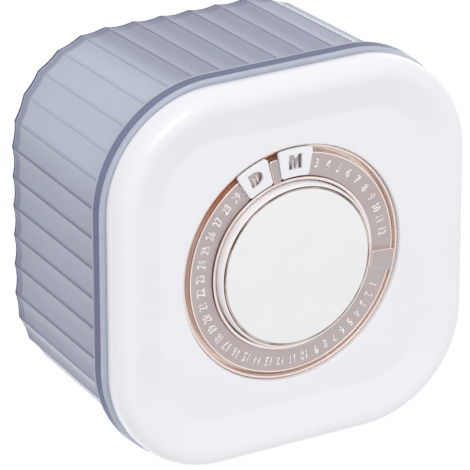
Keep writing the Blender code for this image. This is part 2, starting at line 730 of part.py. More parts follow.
def build_latch_sleeve(material, parent):
    """Guide sleeve of the latch, closed below, with a foot that sits on the plug's floor."""
    outer = SLEEVE_BORE + SLEEVE_WALL
    top = SLEEVE_BOTTOM + SLEEVE_HEIGHT
    floor = SLEEVE_BOTTOM + SLEEVE_FLOOR
    pilot = SCREW_SHANK + SEAT_GAP
    profile = [
        (outer - 0.4 * MM, top),
        (outer, top - 0.4 * MM),
        (outer, floor),
        (SLEEVE_FLANGE, floor),
        (SLEEVE_FLANGE, SLEEVE_BOTTOM),
        (pilot, SLEEVE_BOTTOM),
        (pilot, floor),
        (SLEEVE_BORE, floor),
        (SLEEVE_BORE, top),
    ]
    turned("latch_sleeve", profile, material, parent, steps=24, ring=True)


def build_spring(material, parent):
    """Coil spring around the sleeve, from the plug's floor to the button's underside."""
    low = PLUG_FLOOR_TOP + SEAT_GAP + SPRING_WIRE / 2
    high = BUTTON_UNDER - SEAT_GAP - SPRING_WIRE / 2
    pitch = (high - low) / SPRING_TURNS
    count = SPRING_TURNS * SPRING_POINTS_PER_TURN + 1
    curve = bpy.data.curves.new("return_spring", "CURVE")
    curve.dimensions = "3D"
    curve.bevel_depth = SPRING_WIRE / 2
    curve.bevel_resolution = 1
    curve.use_fill_caps = True
    spline = curve.splines.new("POLY")
    spline.points.add(count - 1)
    points = []
    for index in range(count):
        turn = index / SPRING_POINTS_PER_TURN
        angle = turn * TAU
        point = (
            SPRING_RADIUS * math.cos(angle),
            SPRING_RADIUS * math.sin(angle),
            low + pitch * turn,
        )
        points.append(point)
        spline.points[index].co = (*point, 1.0)
    print(f"return_spring least gap between turns {(pitch - SPRING_WIRE) / MM:.2f} mm")
    curve.materials.append(material)
    made = bpy.data.objects.new("return_spring", curve)
    bpy.data.collections[PARTS].objects.link(made)
    made.parent = parent
    return made


def plug_ring(half, z):
    """Return one ring of the plug's outline, which follows the tub's mouth."""
    return rounded_square(half, TUB_STRAIGHT, 4, 8), z


def build_seal_plug(base_material, gasket_material, parent):
    """Cup-shaped base of the lid with windows for the wedge pads, and the gasket round it."""
    mouth = mouth_half(PLUG_BOTTOM)
    lip = mouth - PLUG_LIP
    groove = lip - PLUG_LIP
    inside = groove - PLUG_WALL
    flange = LID_HALF - LID_WALL - 0.5 * MM
    gasket_low = PLUG_BOTTOM + 1.0 * MM
    gasket_high = gasket_low + GASKET_HEIGHT
    flange_low = TUB_HEIGHT + SEAT_GAP
    flange_high = flange_low + PLUG_FLANGE
    rings = [
        plug_ring(lip - 0.6 * MM, PLUG_BOTTOM),
        plug_ring(lip, PLUG_BOTTOM + 0.3 * MM),
        plug_ring(lip, gasket_low - SEAT_GAP),
        plug_ring(groove, gasket_low - SEAT_GAP),
        plug_ring(groove, gasket_high + SEAT_GAP),
        plug_ring(lip, gasket_high + SEAT_GAP),
        plug_ring(lip, flange_low),
        plug_ring(flange, flange_low),
        plug_ring(flange, flange_high),
        plug_ring(inside, flange_high),
        plug_ring(inside, PLUG_FLOOR_TOP),
    ]
    base = place("lid_base", loft("lid_base", rings), base_material, parent)
    top = WEDGE_TOP + POP_TRAVEL + PAD_CLEARANCE
    half_width = PAD_WIDTH / 2 + PAD_CLEARANCE
    for side in range(4):
        for offset in (-PAD_OFFSET, PAD_OFFSET):
            low = (inside - 1.0 * MM, offset - half_width, PLUG_FLOOR_TOP + 0.1 * MM)
            high = (lip + 1.0 * MM, offset + half_width, top)
            cutter = helper(f"pad_window_{side}_{'a' if offset < 0 else 'b'}", block("window", low, high))
            cutter.rotation_euler.z = side * TAU / 4
            combine(base, cutter, "DIFFERENCE")
    holes = [*boss_places(), (0.0, 0.0)]
    for index, (x, y) in enumerate(holes):
        through = cylinder("hole", SCREW_SHANK + SEAT_GAP, PLUG_BOTTOM - MM, PLUG_FLOOR_TOP + MM, (x, y), 12)
        combine(base, helper(f"base_hole_{index + 1}", through), "DIFFERENCE")
        sink_top = PLUG_BOTTOM + SCREW_HEAD_HEIGHT + 2 * SEAT_GAP
        sink = cylinder("sink", SCREW_HEAD + SEAT_GAP, PLUG_BOTTOM - MM, sink_top, (x, y), 16)
        combine(base, helper(f"base_sink_{index + 1}", sink), "DIFFERENCE")

    bore = groove + SEAT_GAP
    rim = bore + 0.8 * MM
    tip = mouth - SEAT_GAP
    rings = [
        plug_ring(bore, gasket_low),
        plug_ring(rim, gasket_low),
        plug_ring(tip, gasket_low + GASKET_HEIGHT * 0.22),
        plug_ring(rim, gasket_low + GASKET_HEIGHT * 0.42),
        plug_ring(tip, gasket_low + GASKET_HEIGHT * 0.66),
        plug_ring(rim, gasket_low + GASKET_HEIGHT * 0.88),
        plug_ring(bore, gasket_high),
    ]
    place("sealing_gasket", loft("sealing_gasket", rings, closed=True), gasket_material, parent)


def build_wedge_plate(material, parent):
    """Plate under the button whose eight pads push the gasket out through the windows."""
    mouth = mouth_half(PLUG_BOTTOM)
    reach = mouth - 2 * PLUG_LIP - 0.2 * MM
    edge = mouth - 2 * PLUG_LIP - PLUG_WALL - WEDGE_GAP
    rings = [plug_ring(edge - 0.3 * MM, WEDGE_BOTTOM), plug_ring(edge, WEDGE_BOTTOM + 0.3 * MM)]
    rings.append(plug_ring(edge, WEDGE_TOP))
    plate = place("wedge_plate", loft("wedge_plate", rings), material, parent)
    for side in range(4):
        for offset in (-PAD_OFFSET, PAD_OFFSET):
            low = (edge - 3.0 * MM, offset - PAD_WIDTH / 2, WEDGE_BOTTOM + 0.2 * MM)
            high = (reach, offset + PAD_WIDTH / 2, WEDGE_TOP - 0.2 * MM)
            pad = helper(f"pad_{side}_{'a' if offset < 0 else 'b'}", block("pad", low, high))
            pad.rotation_euler.z = side * TAU / 4
            combine(plate, pad, "UNION")
    middle = cylinder("hole", WEDGE_HOLE, WEDGE_BOTTOM - MM, WEDGE_TOP + MM, sides=32)
    combine(plate, helper("wedge_middle", middle), "DIFFERENCE")
    for index, (x, y) in enumerate(boss_places()):
        room = cylinder("room", BOSS_RADIUS + 1.0 * MM, WEDGE_BOTTOM - MM, WEDGE_TOP + MM, (x, y), 16)
        combine(plate, helper(f"boss_room_{index + 1}", room), "DIFFERENCE")
    for index, (x, y) in enumerate(plate_screw_places()):
        hole = cylinder("hole", SCREW_SHANK + SEAT_GAP, WEDGE_BOTTOM - MM, WEDGE_TOP + MM, (x, y), 10)
        combine(plate, helper(f"plate_hole_{index + 1}", hole), "DIFFERENCE")
        sink_top = WEDGE_BOTTOM + SCREW_HEAD_HEIGHT + SEAT_GAP
        sink = cylinder("sink", SCREW_HEAD + SEAT_GAP, WEDGE_BOTTOM - MM, sink_top, (x, y), 14)
        combine(plate, helper(f"plate_sink_{index + 1}", sink), "DIFFERENCE")


def build_screws(material, lid, button):
    """Screws: head below, shank up. Each copy shares its kind's mesh."""

    def screw(name, shank, head, head_height, length, at, bottom, parent):
        profile = [
            (0.0, head_height + length),
            (shank * 0.6, head_height + length),
            (shank, head_height + length - shank * 0.6),
            (shank, head_height),
            (head, head_height),
            (head, 0.0),
            (head * 0.35, 0.0),
            (0.0, head_height * 0.5),
        ]
        made = turned(name, profile, material, parent, steps=10)
        made.location = (at[0], at[1], bottom)

    for index, at in enumerate(boss_places()):
        screw(
            f"base_screw_{index + 1}",
            SCREW_SHANK,
            SCREW_HEAD,
            SCREW_HEAD_HEIGHT,
            SCREW_LENGTH,
            at,
            PLUG_BOTTOM + SEAT_GAP,
            lid,
        )
    screw(
        "sleeve_screw",
        SCREW_SHANK,
        SCREW_HEAD,
        SCREW_HEAD_HEIGHT,
        SLEEVE_SCREW_LENGTH,
        (0.0, 0.0),
        PLUG_BOTTOM + SEAT_GAP,
        lid,
    )
    for index, at in enumerate(tray_screw_places()):
        low = TRAY_FLANGE_UNDER - SEAT_GAP - TRAY_SCREW_HEAD_HEIGHT
        screw(
            f"tray_screw_{index + 1}",
            TRAY_SCREW_SHANK,
            TRAY_SCREW_HEAD,
            TRAY_SCREW_HEAD_HEIGHT,
            DISH_Z - 1.1 * MM - TRAY_FLANGE_UNDER + SEAT_GAP,
            at,
            low,
            lid,
        )
    for index, at in enumerate(plate_screw_places()):
        screw(
            f"plate_screw_{index + 1}",
            SCREW_SHANK,
            SCREW_HEAD,
            SCREW_HEAD_HEIGHT,
            PLATE_SCREW_LENGTH,
            at,
            WEDGE_BOTTOM,
            button,
        )


def main():
    """Build every part of the canister."""
    clear_scene()
    collection(PARTS)
    collection(CUTTERS, hidden=True)

    clear = plastic("smoky_clear", (0.55, 0.60, 0.72), 0.08, alpha=0.45, transmission=0.7)
    white = plastic("gloss_white", (0.90, 0.90, 0.92), 0.22)
    cream = plastic("satin_cream", (0.88, 0.88, 0.86), 0.32)
    rose = plastic("rose_plated", (0.62, 0.50, 0.49), 0.28, metallic=0.8)
    chrome = plastic("bright_trim", (0.75, 0.66, 0.62), 0.15, metallic=1.0)
    inner = plastic("inner_plastic", (0.82, 0.83, 0.85), 0.45)
    silicone = plastic("clear_silicone", (0.80, 0.84, 0.88), 0.4, alpha=0.8)
    acetal = plastic("acetal", (0.30, 0.32, 0.36), 0.4)
    steel = plastic("steel", (0.62, 0.62, 0.63), 0.25, metallic=1.0)

    lid = axis_empty("lid_axis", (0.0, 0.0, 0.0))
    day = axis_empty("day_axis", (0.0, 0.0, 0.0))
    month = axis_empty("month_axis", (0.0, 0.0, 0.0))
    button = axis_empty("button_axis", (0.0, 0.0, 0.0))
    rotor = axis_empty("rotor_axis", (0.0, 0.0, 0.0))
    for child, owner in ((day, lid), (month, lid), (button, lid), (rotor, button)):
        child.parent = owner

    build_tub(clear)
    build_lid_cover(white, lid)
    build_dial_tray(rose, lid)
    build_slider("day_slider", "D", DAY_CLOCK, DAY_SPAN, white, day)
    build_slider("month_slider", "M", MONTH_CLOCK, MONTH_SPAN, white, month)
    build_button(white, chrome, cream, acetal, button)
    build_latch_rotor(acetal, rotor)
    build_latch_sleeve(inner, lid)
    build_spring(steel, lid)
    build_seal_plug(inner, silicone, lid)
    build_wedge_plate(inner, button)
    build_screws(steel, lid, button)


main()
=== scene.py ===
"""Looks of the square milk powder canister.

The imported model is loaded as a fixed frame, in metres. The visible pieces of the tub, the
lid, the date dial and the push button are remade here with soft edges, and every piece,
remade or carried over, gets a procedural material.
Angles named clock are in degrees, clockwise from +Y as seen from above the lid.
"""

import logging
import math
from collections.abc import Callable, Sequence
from dataclasses import dataclass, field
from enum import Enum

import bmesh
import bpy
from mathutils import Matrix, Vector

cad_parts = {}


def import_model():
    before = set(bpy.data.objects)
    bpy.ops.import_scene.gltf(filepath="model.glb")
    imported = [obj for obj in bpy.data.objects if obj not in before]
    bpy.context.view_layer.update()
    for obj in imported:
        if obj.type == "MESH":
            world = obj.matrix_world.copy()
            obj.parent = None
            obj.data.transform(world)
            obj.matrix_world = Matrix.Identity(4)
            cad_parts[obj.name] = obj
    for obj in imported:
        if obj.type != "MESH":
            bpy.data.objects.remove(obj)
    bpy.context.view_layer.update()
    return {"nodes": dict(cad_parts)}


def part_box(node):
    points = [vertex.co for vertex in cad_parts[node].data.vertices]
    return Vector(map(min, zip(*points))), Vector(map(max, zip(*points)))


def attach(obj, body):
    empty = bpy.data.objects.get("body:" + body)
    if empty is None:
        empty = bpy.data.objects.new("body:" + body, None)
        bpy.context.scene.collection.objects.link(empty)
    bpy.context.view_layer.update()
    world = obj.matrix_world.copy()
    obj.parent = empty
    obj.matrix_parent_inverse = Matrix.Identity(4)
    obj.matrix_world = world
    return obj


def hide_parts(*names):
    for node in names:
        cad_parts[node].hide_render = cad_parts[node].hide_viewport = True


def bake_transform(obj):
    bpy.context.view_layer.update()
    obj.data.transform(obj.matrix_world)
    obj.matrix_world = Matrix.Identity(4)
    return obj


LOG = logging.getLogger("canister")
MM = 0.001
TAU = 2.0 * math.pi
SEAT_GAP = 0.3 * MM
AXIS_RADIUS = 1e-7

Point = tuple[float, float]
Outline = list[Vector]
Ring = tuple[Outline, float]


def millimetres(*values: float) -> tuple[float, ...]:
    """Return lengths in metres from lengths in millimetres."""
    return tuple(value * MM for value in values)


class Body(Enum):
    """The bodies that remade pieces ride on."""

    TUB = "tub"
    LID = "lid"
    BUTTON = "button"
    DAY = "day_slider"
    MONTH = "month_slider"


# Shader maths


class Socket:
    """One output socket, with the operators that add Math nodes."""

    def __init__(self, tree: "Shading", socket: bpy.types.NodeSocket) -> None:
        """Keep the socket and the tree it belongs to.

        Args:
            tree: The node tree being written.
            socket: The output socket.
        """
        self.tree = tree
        self.socket = socket

    def _math(self, operation: str, *values: "Socket | float") -> "Socket":
        """Return a Math node's result.

        Args:
            operation: The Math node's operation.
            values: Its inputs in order.

        Returns:
            The node's output.
        """
        return self.tree.add("ShaderNodeMath", {"operation": operation}, dict(enumerate(values)))

    def __add__(self, other: "Socket | float") -> "Socket":
        """Return the sum."""
        return self._math("ADD", self, other)

    __radd__ = __add__

    def __sub__(self, other: "Socket | float") -> "Socket":
        """Return the difference."""
        return self._math("SUBTRACT", self, other)

    def __rsub__(self, other: float) -> "Socket":
        """Return the difference taken from a number."""
        return self._math("SUBTRACT", other, self)

    def __mul__(self, other: "Socket | float") -> "Socket":
        """Return the product."""
        return self._math("MULTIPLY", self, other)

    __rmul__ = __mul__

    def __or__(self, other: "Socket") -> "Socket":
        """Return the larger of two values, which is either of two yes or no answers."""
        return self._math("MAXIMUM", self, other)

    def ramp(self, low: float, high: float) -> "Socket":
        """Return 0 below low, 1 above high, and a smooth climb between.

        Args:
            low: Value where the climb starts.
            high: Value where it ends.

        Returns:
            The climb, from 0 to 1.
        """
        sockets = {"Value": self, "From Min": low, "From Max": high, "To Min": 0.0, "To Max": 1.0}
        return self.tree.add("ShaderNodeMapRange", {"interpolation_type": "SMOOTHSTEP"}, sockets)


class Shading:
    """A material's node tree, written with a few calls."""

    def __init__(self, tree: bpy.types.NodeTree) -> None:
        """Start from an emptied tree.

        Args:
            tree: The tree to write.
        """
        self.tree = tree
        tree.nodes.clear()

    def add(
        self,
        kind: str,
        settings: dict[str, object] | None = None,
        sockets: dict[str | int, object] | None = None,
        output: str | int = 0,
    ) -> Socket:
        """Add a node.

        Args:
            kind: The node's type.
            settings: Its settings, set before its sockets.
            sockets: A value or a link for each input, by name or place.
            output: The output to return.

        Returns:
            That output.
        """
        node = self.tree.nodes.new(kind)
        for key, value in (settings or {}).items():
            setattr(node, key, value)
        for key, value in (sockets or {}).items():
            target = node.inputs[key]
            if isinstance(value, Socket):
                self.tree.links.new(value.socket, target)
            else:
                target.default_value = value
        return Socket(self, node.outputs[output])

    def close(self, kind: str, surface: Socket) -> None:
        """Join a surface to the tree's output node.

        Args:
            kind: The output node's type.
            surface: The finished surface.
        """
        node = self.tree.nodes.new(kind)
        self.tree.links.new(surface.socket, node.inputs["Surface"])

    def attribute(self, name: str) -> Socket:
        """Return a number stored on the mesh's points."""
        return self.add("ShaderNodeAttribute", {"attribute_name": name}, output="Fac")

    def place(self) -> Socket:
        """Return the place of the shaded point in the piece's own metres."""
        return self.add("ShaderNodeTexCoord", output="Object")

    def noise(self, size: float, detail: float = 3.0, stretch: tuple[float, ...] = (1, 1, 1)) -> Socket:
        """Return a noise value.

        Args:
            size: Rough size of one blotch in metres.
            detail: The noise's detail.
            stretch: Scale of the place along each axis.

        Returns:
            The noise, about 0.5 on average.
        """
        place = self.add(
            "ShaderNodeVectorMath", {"operation": "MULTIPLY"}, {0: self.place(), 1: stretch}
        )
        return self.add(
            "ShaderNodeTexNoise", sockets={"Vector": place, "Scale": 1.0 / size, "Detail": detail}
        )

    def blend(self, share: Socket, first: object, second: object) -> Socket:
        """Return a mix of two colours.

        Args:
            share: How much of the second colour shows.
            first: A colour or a link.
            second: A colour or a link.

        Returns:
            The mixed colour.
        """
        return self.add(
            "ShaderNodeMix", {"data_type": "RGBA"}, {0: share, 6: first, 7: second}, output=2
        )

    def bump(self, height: Socket, distance: float, strength: float) -> Socket:
        """Return a normal that follows a height.

        Args:
            height: The height, from 0 to 1.
            distance: How tall 1 is, in metres.
            strength: How strongly it shows.

        Returns:
            The normal.
        """
        sockets = {"Height": height, "Distance": distance, "Strength": strength}
        return self.add("ShaderNodeBump", sockets=sockets)


Colour = tuple[float, float, float]
WHITE: Colour = (1.0, 1.0, 1.0)


def opaque(colour: Colour) -> tuple[float, float, float, float]:
    """Return the colour with full alpha."""
    return (*colour, 1.0)


def new_material(name: str, colour: Colour) -> tuple[bpy.types.Material, Shading]:
    """Start a material.

    Args:
        name: Its name.
        colour: Its plain colour, linear.

    Returns:
        The material and its empty node tree.
    """
    made = bpy.data.materials.new(name)
    made.use_nodes = True
    made.diffuse_color = opaque(colour)
    return made, Shading(made.node_tree)


@dataclass(frozen=True)
class Plastic:
    """A moulded or plated plastic surface.

    Attributes:
        name: Name of the material.
        colour: Main colour, linear.
        shade: Colour of the faint clouds in it; on the digits these are painted glints, and on the trim
            ring painted reflections.
        roughness: Average roughness.
        spread: How far the roughness varies.
        grain: Size of the surface texture in metres.
        relief: Height of that texture in metres.
        metallic: 1 for plating.
        coat: Weight of a clear coat.
        specular: How strongly it mirrors.
        cloud: Size of its faint clouds in metres.
        mask: Mesh attribute of painted shade that turns the colour into the shade colour, or none.
    """

    name: str
    colour: Colour
    shade: Colour
    roughness: float
    spread: float = 0.04
    grain: float = 0.9 * MM
    relief: float = 0.004 * MM
    metallic: float = 0.0
    coat: float = 0.0
    specular: float = 0.5
    cloud: float = 14.0 * MM
    mask: str = ""

    def make(self) -> bpy.types.Material:
        """Write the material.

        Returns:
            The material.
        """
        made, tree = new_material(self.name, self.colour)
        cloud = tree.noise(self.cloud, 2.0)
        grain = tree.noise(self.grain, 4.0)
        fine = tree.noise(self.grain * 0.25, 2.0)
        share = cloud.ramp(0.35, 0.7)
        # A mask paints shade: where it is high, the shade colour takes over.
        if self.mask:
            share = tree.attribute(self.mask) * (0.8 + share * 0.2)
        base = tree.blend(share, opaque(self.colour), opaque(self.shade))
        rough = self.roughness + (grain - 0.5) * (2.0 * self.spread) + (cloud - 0.5) * self.spread
        normal = tree.bump(grain * 0.7 + fine * 0.3, self.relief, 1.0)
        shader = tree.add(
            "ShaderNodeBsdfPrincipled",
            sockets={
                "Base Color": base,
                "Roughness": rough,
                "Metallic": self.metallic,
                "Specular IOR Level": self.specular,
                "Coat Weight": self.coat,
                "Coat Roughness": 0.08,
                "Normal": normal,
            },
        )
        tree.close("ShaderNodeOutputMaterial", shader)
        return made


@dataclass(frozen=True)
class ClearPlastic:
    """A tinted see-through plastic, with painted shade and painted light mixed into its colour where the
    mesh says.

    Attributes:
        name: Name of the material.
        colour: Plain colour of the wall, linear.
        pale: Colour of painted light, where the mesh asks for it.
        deep: Colour of painted shade, where the mesh asks for it.
        roughness: Average roughness.
        transmission: How much light goes through.
        ior: Refractive index.
    """

    name: str
    colour: Colour
    pale: Colour
    deep: Colour
    roughness: float
    transmission: float
    ior: float = 1.3

    def make(self) -> bpy.types.Material:
        """Write the material.

        Returns:
            The material.
        """
        made, tree = new_material(self.name, self.colour)
        # Painted shade and painted light: two mesh attributes mix a dark and a pale colour into the plain
        # colour.
        painted_shade, painted_light = tree.attribute("painted_shade"), tree.attribute("painted_light")
        flow = tree.noise(22 * MM, 2.0, (1.0, 1.0, 0.35))
        fine = tree.noise(1.6 * MM, 3.0)
        wall = tree.blend(painted_light, opaque(self.colour), opaque(self.pale))
        base = tree.blend(painted_shade, wall, opaque(self.deep))
        rough = self.roughness + (fine - 0.5) * (0.5 * self.roughness)
        normal = tree.bump(flow * 0.8 + fine * 0.2, 0.02 * MM, 0.6)
        shader = tree.add(
            "ShaderNodeBsdfPrincipled",
            sockets={
                "Base Color": base,
                "Roughness": rough,
                "IOR": self.ior,
                "Specular IOR Level": 0.04,
                "Transmission Weight": self.transmission,
                "Normal": normal,
            },
        )
        tree.close("ShaderNodeOutputMaterial", shader)
        return made


# The smoky blue grey is the plastic's own colour; the pale and the dark colours after it are painted light
# and painted shade.
SMOKY_CLEAR = ClearPlastic(
    "smoky_clear", (0.595, 0.635, 0.735), (0.715, 0.76, 0.855), (0.06, 0.08, 0.23), 0.07, 0.42
)
# The gasket's mesh asks for no painted shade and no painted light, so it keeps its plain milky colour.
MILKY_SILICONE = ClearPlastic(
    "milky_silicone", (0.80, 0.84, 0.88), (0.86, 0.88, 0.90), (0.6, 0.65, 0.7), 0.38, 0.35, 1.41
)
GLOSS_WHITE = Plastic("gloss_white", (0.86, 0.86, 0.88), (0.845, 0.845, 0.87), 0.24, coat=0.12)
PEARL_WHITE = Plastic("pearl_white", (0.90, 0.88, 0.875), (0.88, 0.86, 0.855), 0.20, coat=0.2)
SATIN_CREAM = Plastic("satin_cream", (0.86, 0.865, 0.85), (0.84, 0.85, 0.84), 0.36)
ROSE_SATIN = Plastic(
    "rose_satin", (0.515, 0.45, 0.45), (0.485, 0.42, 0.42), 0.38, 0.06, 0.12 * MM, 0.006 * MM, 1.0
)
ROSE_POLISHED = Plastic(
    "rose_polished", (0.92, 0.80, 0.76), (0.88, 0.75, 0.71), 0.15, 0.03, 0.5 * MM, 0.001 * MM, 0.9
)
# Painted shade: a dark copper strip just under the face's edge, on the plating's copper hue.
SHADED_COPPER_GROOVE = Plastic(
    "shaded_copper_groove", (0.56, 0.29, 0.18), (0.46, 0.22, 0.13), 0.30, 0.05, 0.5 * MM, 0.002 * MM, 0.45
)
# The groove wall's pale plating; a mesh attribute turns it into coppery brown painted shade beside the
# parked sliders.
ROSE_WALL = Plastic(
    "rose_wall", (0.92, 0.79, 0.73), (0.82, 0.46, 0.29), 0.26, 0.05, 0.5 * MM, 0.002 * MM, 0.45,
    mask="painted_copper_shade",
)
# Painted shadow: a dark line on the inner ring's outer side, beside the face.
ROSE_SHADE_LINE = Plastic(
    "rose_shade_line", (0.16, 0.11, 0.11), (0.30, 0.21, 0.19), 0.22, 0.05, 0.5 * MM, 0.001 * MM, 0.8
)
# The digits' light plating, with painted glints: fine noise mixes grey in between bright patches.
DIGIT_GLINTS = Plastic(
    "digit_glints", (0.98, 0.94, 0.93), (0.66, 0.59, 0.585), 0.20, 0.04, 0.2 * MM, 0.001 * MM, 0.9,
    cloud=1.6 * MM,
)
# The trim's rose plating, with painted reflections: broad noise mixes bright and dark brown round the
# ring.
TRIM_ROSE_REFLECTIONS = Plastic(
    "trim_rose_reflections", (0.74, 0.62, 0.57), (0.24, 0.16, 0.13), 0.16, 0.03, 0.5 * MM, 0.001 * MM, 1.0,
    cloud=13.0 * MM,
)
INNER_PLASTIC = Plastic("inner_plastic", (0.80, 0.81, 0.84), (0.77, 0.78, 0.81), 0.48, 0.06)
DARK_ACETAL = Plastic("dark_acetal", (0.16, 0.17, 0.19), (0.13, 0.14, 0.16), 0.42, 0.06)
ZINC_STEEL = Plastic(
    "zinc_steel", (0.60, 0.60, 0.62), (0.50, 0.51, 0.55), 0.26, 0.08, 0.7 * MM, 0.003 * MM, 1.0
)


# Outlines and meshes


def eased(share: float) -> float:
    """Return a share from 0 to 1 with a smooth start and end, and nothing outside 0 to 1."""
    held = max(0.0, min(1.0, share))
    return held * held * (3.0 - 2.0 * held)


def quarter_round(steps: int) -> list[Point]:
    """Return how far each step of a rounded edge is from its two sides.

    Args:
        steps: Steps round the edge.

    Returns:
        For each step, shares of the radius: the way gone along the first side, and the way
        still to go along the second.
    """
    swings = [TAU / 4 * step / steps for step in range(steps + 1)]
    return [(1.0 - math.cos(swing), 1.0 - math.sin(swing)) for swing in swings]


def sides() -> list[tuple[Vector, Vector]]:
    """Return the direction along each side of a square and the one out of it, anticlockwise."""
    turns = [quarter * TAU / 4 for quarter in range(4)]
    return [
        (Vector((math.cos(turn), math.sin(turn))), Vector((math.sin(turn), -math.cos(turn))))
        for turn in turns
    ]


def rounded_square(half: float, straight: float, side: int, corner: int) -> Outline:
    """Return the points of a rounded square, anticlockwise.

    Args:
        half: Half its width.
        straight: Half the length of a straight side.
        side: Steps along a side.
        corner: Steps round a corner.

    Returns:
        The points.
    """
    radius = half - straight
    points = []
    for along, outward in sides():
        for step in range(side):
            points.append(along * straight * (2 * step / side - 1) + outward * half)
        centre = (along + outward) * straight
        for step in range(corner):
            swing = TAU / 4 * step / corner
            points.append(centre + (outward * math.cos(swing) + along * math.sin(swing)) * radius)
    return points


def new_mesh(
    name: str, points: Sequence[Sequence[float]], faces: Sequence[Sequence[int]]
) -> bpy.types.Mesh:
    """Return a mesh whose faces point outwards.

    Args:
        name: Its name.
        points: Its points.
        faces: Its faces, as places in points.

    Returns:
        The mesh.
    """
    mesh = bpy.data.meshes.new(name)
    mesh.from_pydata(points, [], faces)
    shell = bmesh.new()
    shell.from_mesh(mesh)
    bmesh.ops.recalc_face_normals(shell, faces=shell.faces)
    shell.to_mesh(mesh)
    shell.free()
    return mesh


def loft(name: str, rings: Sequence[Ring], closed: bool = False) -> bpy.types.Mesh:
    """Join rings into one closed surface.

    Args:
        name: Name of the mesh.
        rings: Each ring's outline and height.
        closed: Whether the last ring joins the first, in place of two caps.

    Returns:
        The mesh.
    """
    count = len(rings[0][0])
    points = [(x, y, z) for outline, z in rings for x, y in outline]
    faces = []
    rows = len(rings)
    for row in range(rows if closed else rows - 1):
        low, high = row * count, (row + 1) % rows * count
        for index in range(count):
            after = (index + 1) % count
            faces.append((low + index, low + after, high + after, high + index))
    if not closed:
        faces.append(tuple(range(count)))
        faces.append(tuple(range((rows - 1) * count, rows * count)))
    return new_mesh(name, points, faces)


def softened(corners: Sequence[tuple[float, float, float]], closed: bool, steps: int = 5) -> list[Point]:
    """Return a profile whose corners are rounded.

    Args:
        corners: Each corner's radius from the axis, its height and its rounding.
        closed: Whether the profile is a loop.
        steps: Steps round each corner.

    Returns:
        The profile's points.
    """
    count = len(corners)
    made: list[Point] = []
    for index, (r, z, rounding) in enumerate(corners):
        here = Vector((r, z))
        if rounding <= 0.0 or (not closed and index in (0, count - 1)):
            made.append((r, z))
            continue
        before = Vector(corners[index - 1][:2]) - here
        after = Vector(corners[(index + 1) % count][:2]) - here
        half_angle = before.angle(after) / 2
        reach = min(rounding / math.tan(half_angle), 0.49 * before.length, 0.49 * after.length)
        start, end = here + before.normalized() * reach, here + after.normalized() * reach
        for step in range(steps + 1):
            share = step / steps
            point = start * (1 - share) ** 2 + here * (2 * share * (1 - share)) + end * share**2
            made.append((point.x, point.y))
    return made


def turned(name: str, profile: Sequence[Point], steps: int, ring: bool) -> bpy.types.Mesh:
    """Return a turned mesh.

    Args:
        name: Name of the mesh.
        profile: Its points, radius and height.
        steps: Steps round the axis.
        ring: Whether the profile is a loop, in place of ending on the axis.

    Returns:
        The mesh.
    """
    points: list[tuple[float, float, float]] = []
    starts: list[tuple[int, bool]] = []
    for r, z in profile:
        on_axis = r < AXIS_RADIUS
        starts.append((len(points), on_axis))
        for step in range(1 if on_axis else steps):
            angle = TAU * step / steps
            points.append((r * math.cos(angle), r * math.sin(angle), z))
    faces = []
    pairs = list(zip(starts, starts[1:]))
    if ring:
        pairs.append((starts[-1], starts[0]))
    for (low, low_axis), (high, high_axis) in pairs:
        for step in range(steps):
            after = (step + 1) % steps
            corner = [low if low_axis else low + step]
            if not low_axis:
                corner.append(low + after)
            corner.append(high if high_axis else high + after)
            if not high_axis:
                corner.append(high + step)
            if len(corner) > 2:
                faces.append(tuple(corner))
    return new_mesh(name, points, faces)


def curve_mesh(name: str, curve: bpy.types.Curve) -> bpy.types.Mesh:
    """Turn a curve into a mesh and remove the curve.

    Args:
        name: Name of the mesh.
        curve: The curve, with its bevel and extrusion set.

    Returns:
        The mesh.
    """
    made = bpy.data.objects.new(name, curve)
    bpy.context.scene.collection.objects.link(made)
    graph = bpy.context.evaluated_depsgraph_get()
    mesh = bpy.data.meshes.new_from_object(made.evaluated_get(graph))
    bpy.data.objects.remove(made)
    bpy.data.curves.remove(curve)
    mesh.name = name
    return mesh


def join_into(mesh: bpy.types.Mesh, others: Sequence[bpy.types.Mesh]) -> None:
    """Add other meshes to a mesh, and remove them.

    Args:
        mesh: The mesh that gains them.
        others: The meshes to add.
    """
    shell = bmesh.new()
    for part in (mesh, *others):
        shell.from_mesh(part)
    shell.to_mesh(mesh)
    shell.free()
    for part in others:
        bpy.data.meshes.remove(part)


def clock_turn(clock: float) -> Matrix:
    """Return the turn about +Z that takes +Y to a clockwise angle in degrees."""
    return Matrix.Rotation(-math.radians(clock), 4, "Z")


def add_bosses(
    mesh: bpy.types.Mesh, screws: str, radius: float, low: float, top: float, steps: int
) -> None:
    """Add four screw bosses to a mesh, with their pilot holes.

    Args:
        mesh: The mesh, which gains the bosses.
        screws: Start of the names of the CAD screws that they take.
        radius: Radius of a boss.
        low: Height of a boss's foot.
        top: Height of its root, inside the piece.
        steps: Steps round a boss.
    """
    pilot = 1.5 * MM
    corners = [
        (pilot, low, 0.2 * MM),
        (radius, low, 0.3 * MM),
        (radius, top, 0.0),
        (pilot, top, 0.0),
    ]
    bosses = []
    for index in range(1, 5):
        first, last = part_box(f"{screws}_{index}")
        boss = turned("boss", softened(corners, closed=True, steps=2), steps, ring=True)
        boss.transform(Matrix.Translation(((first.x + last.x) / 2, (first.y + last.y) / 2, 0.0)))
        bosses.append(boss)
    join_into(mesh, bosses)


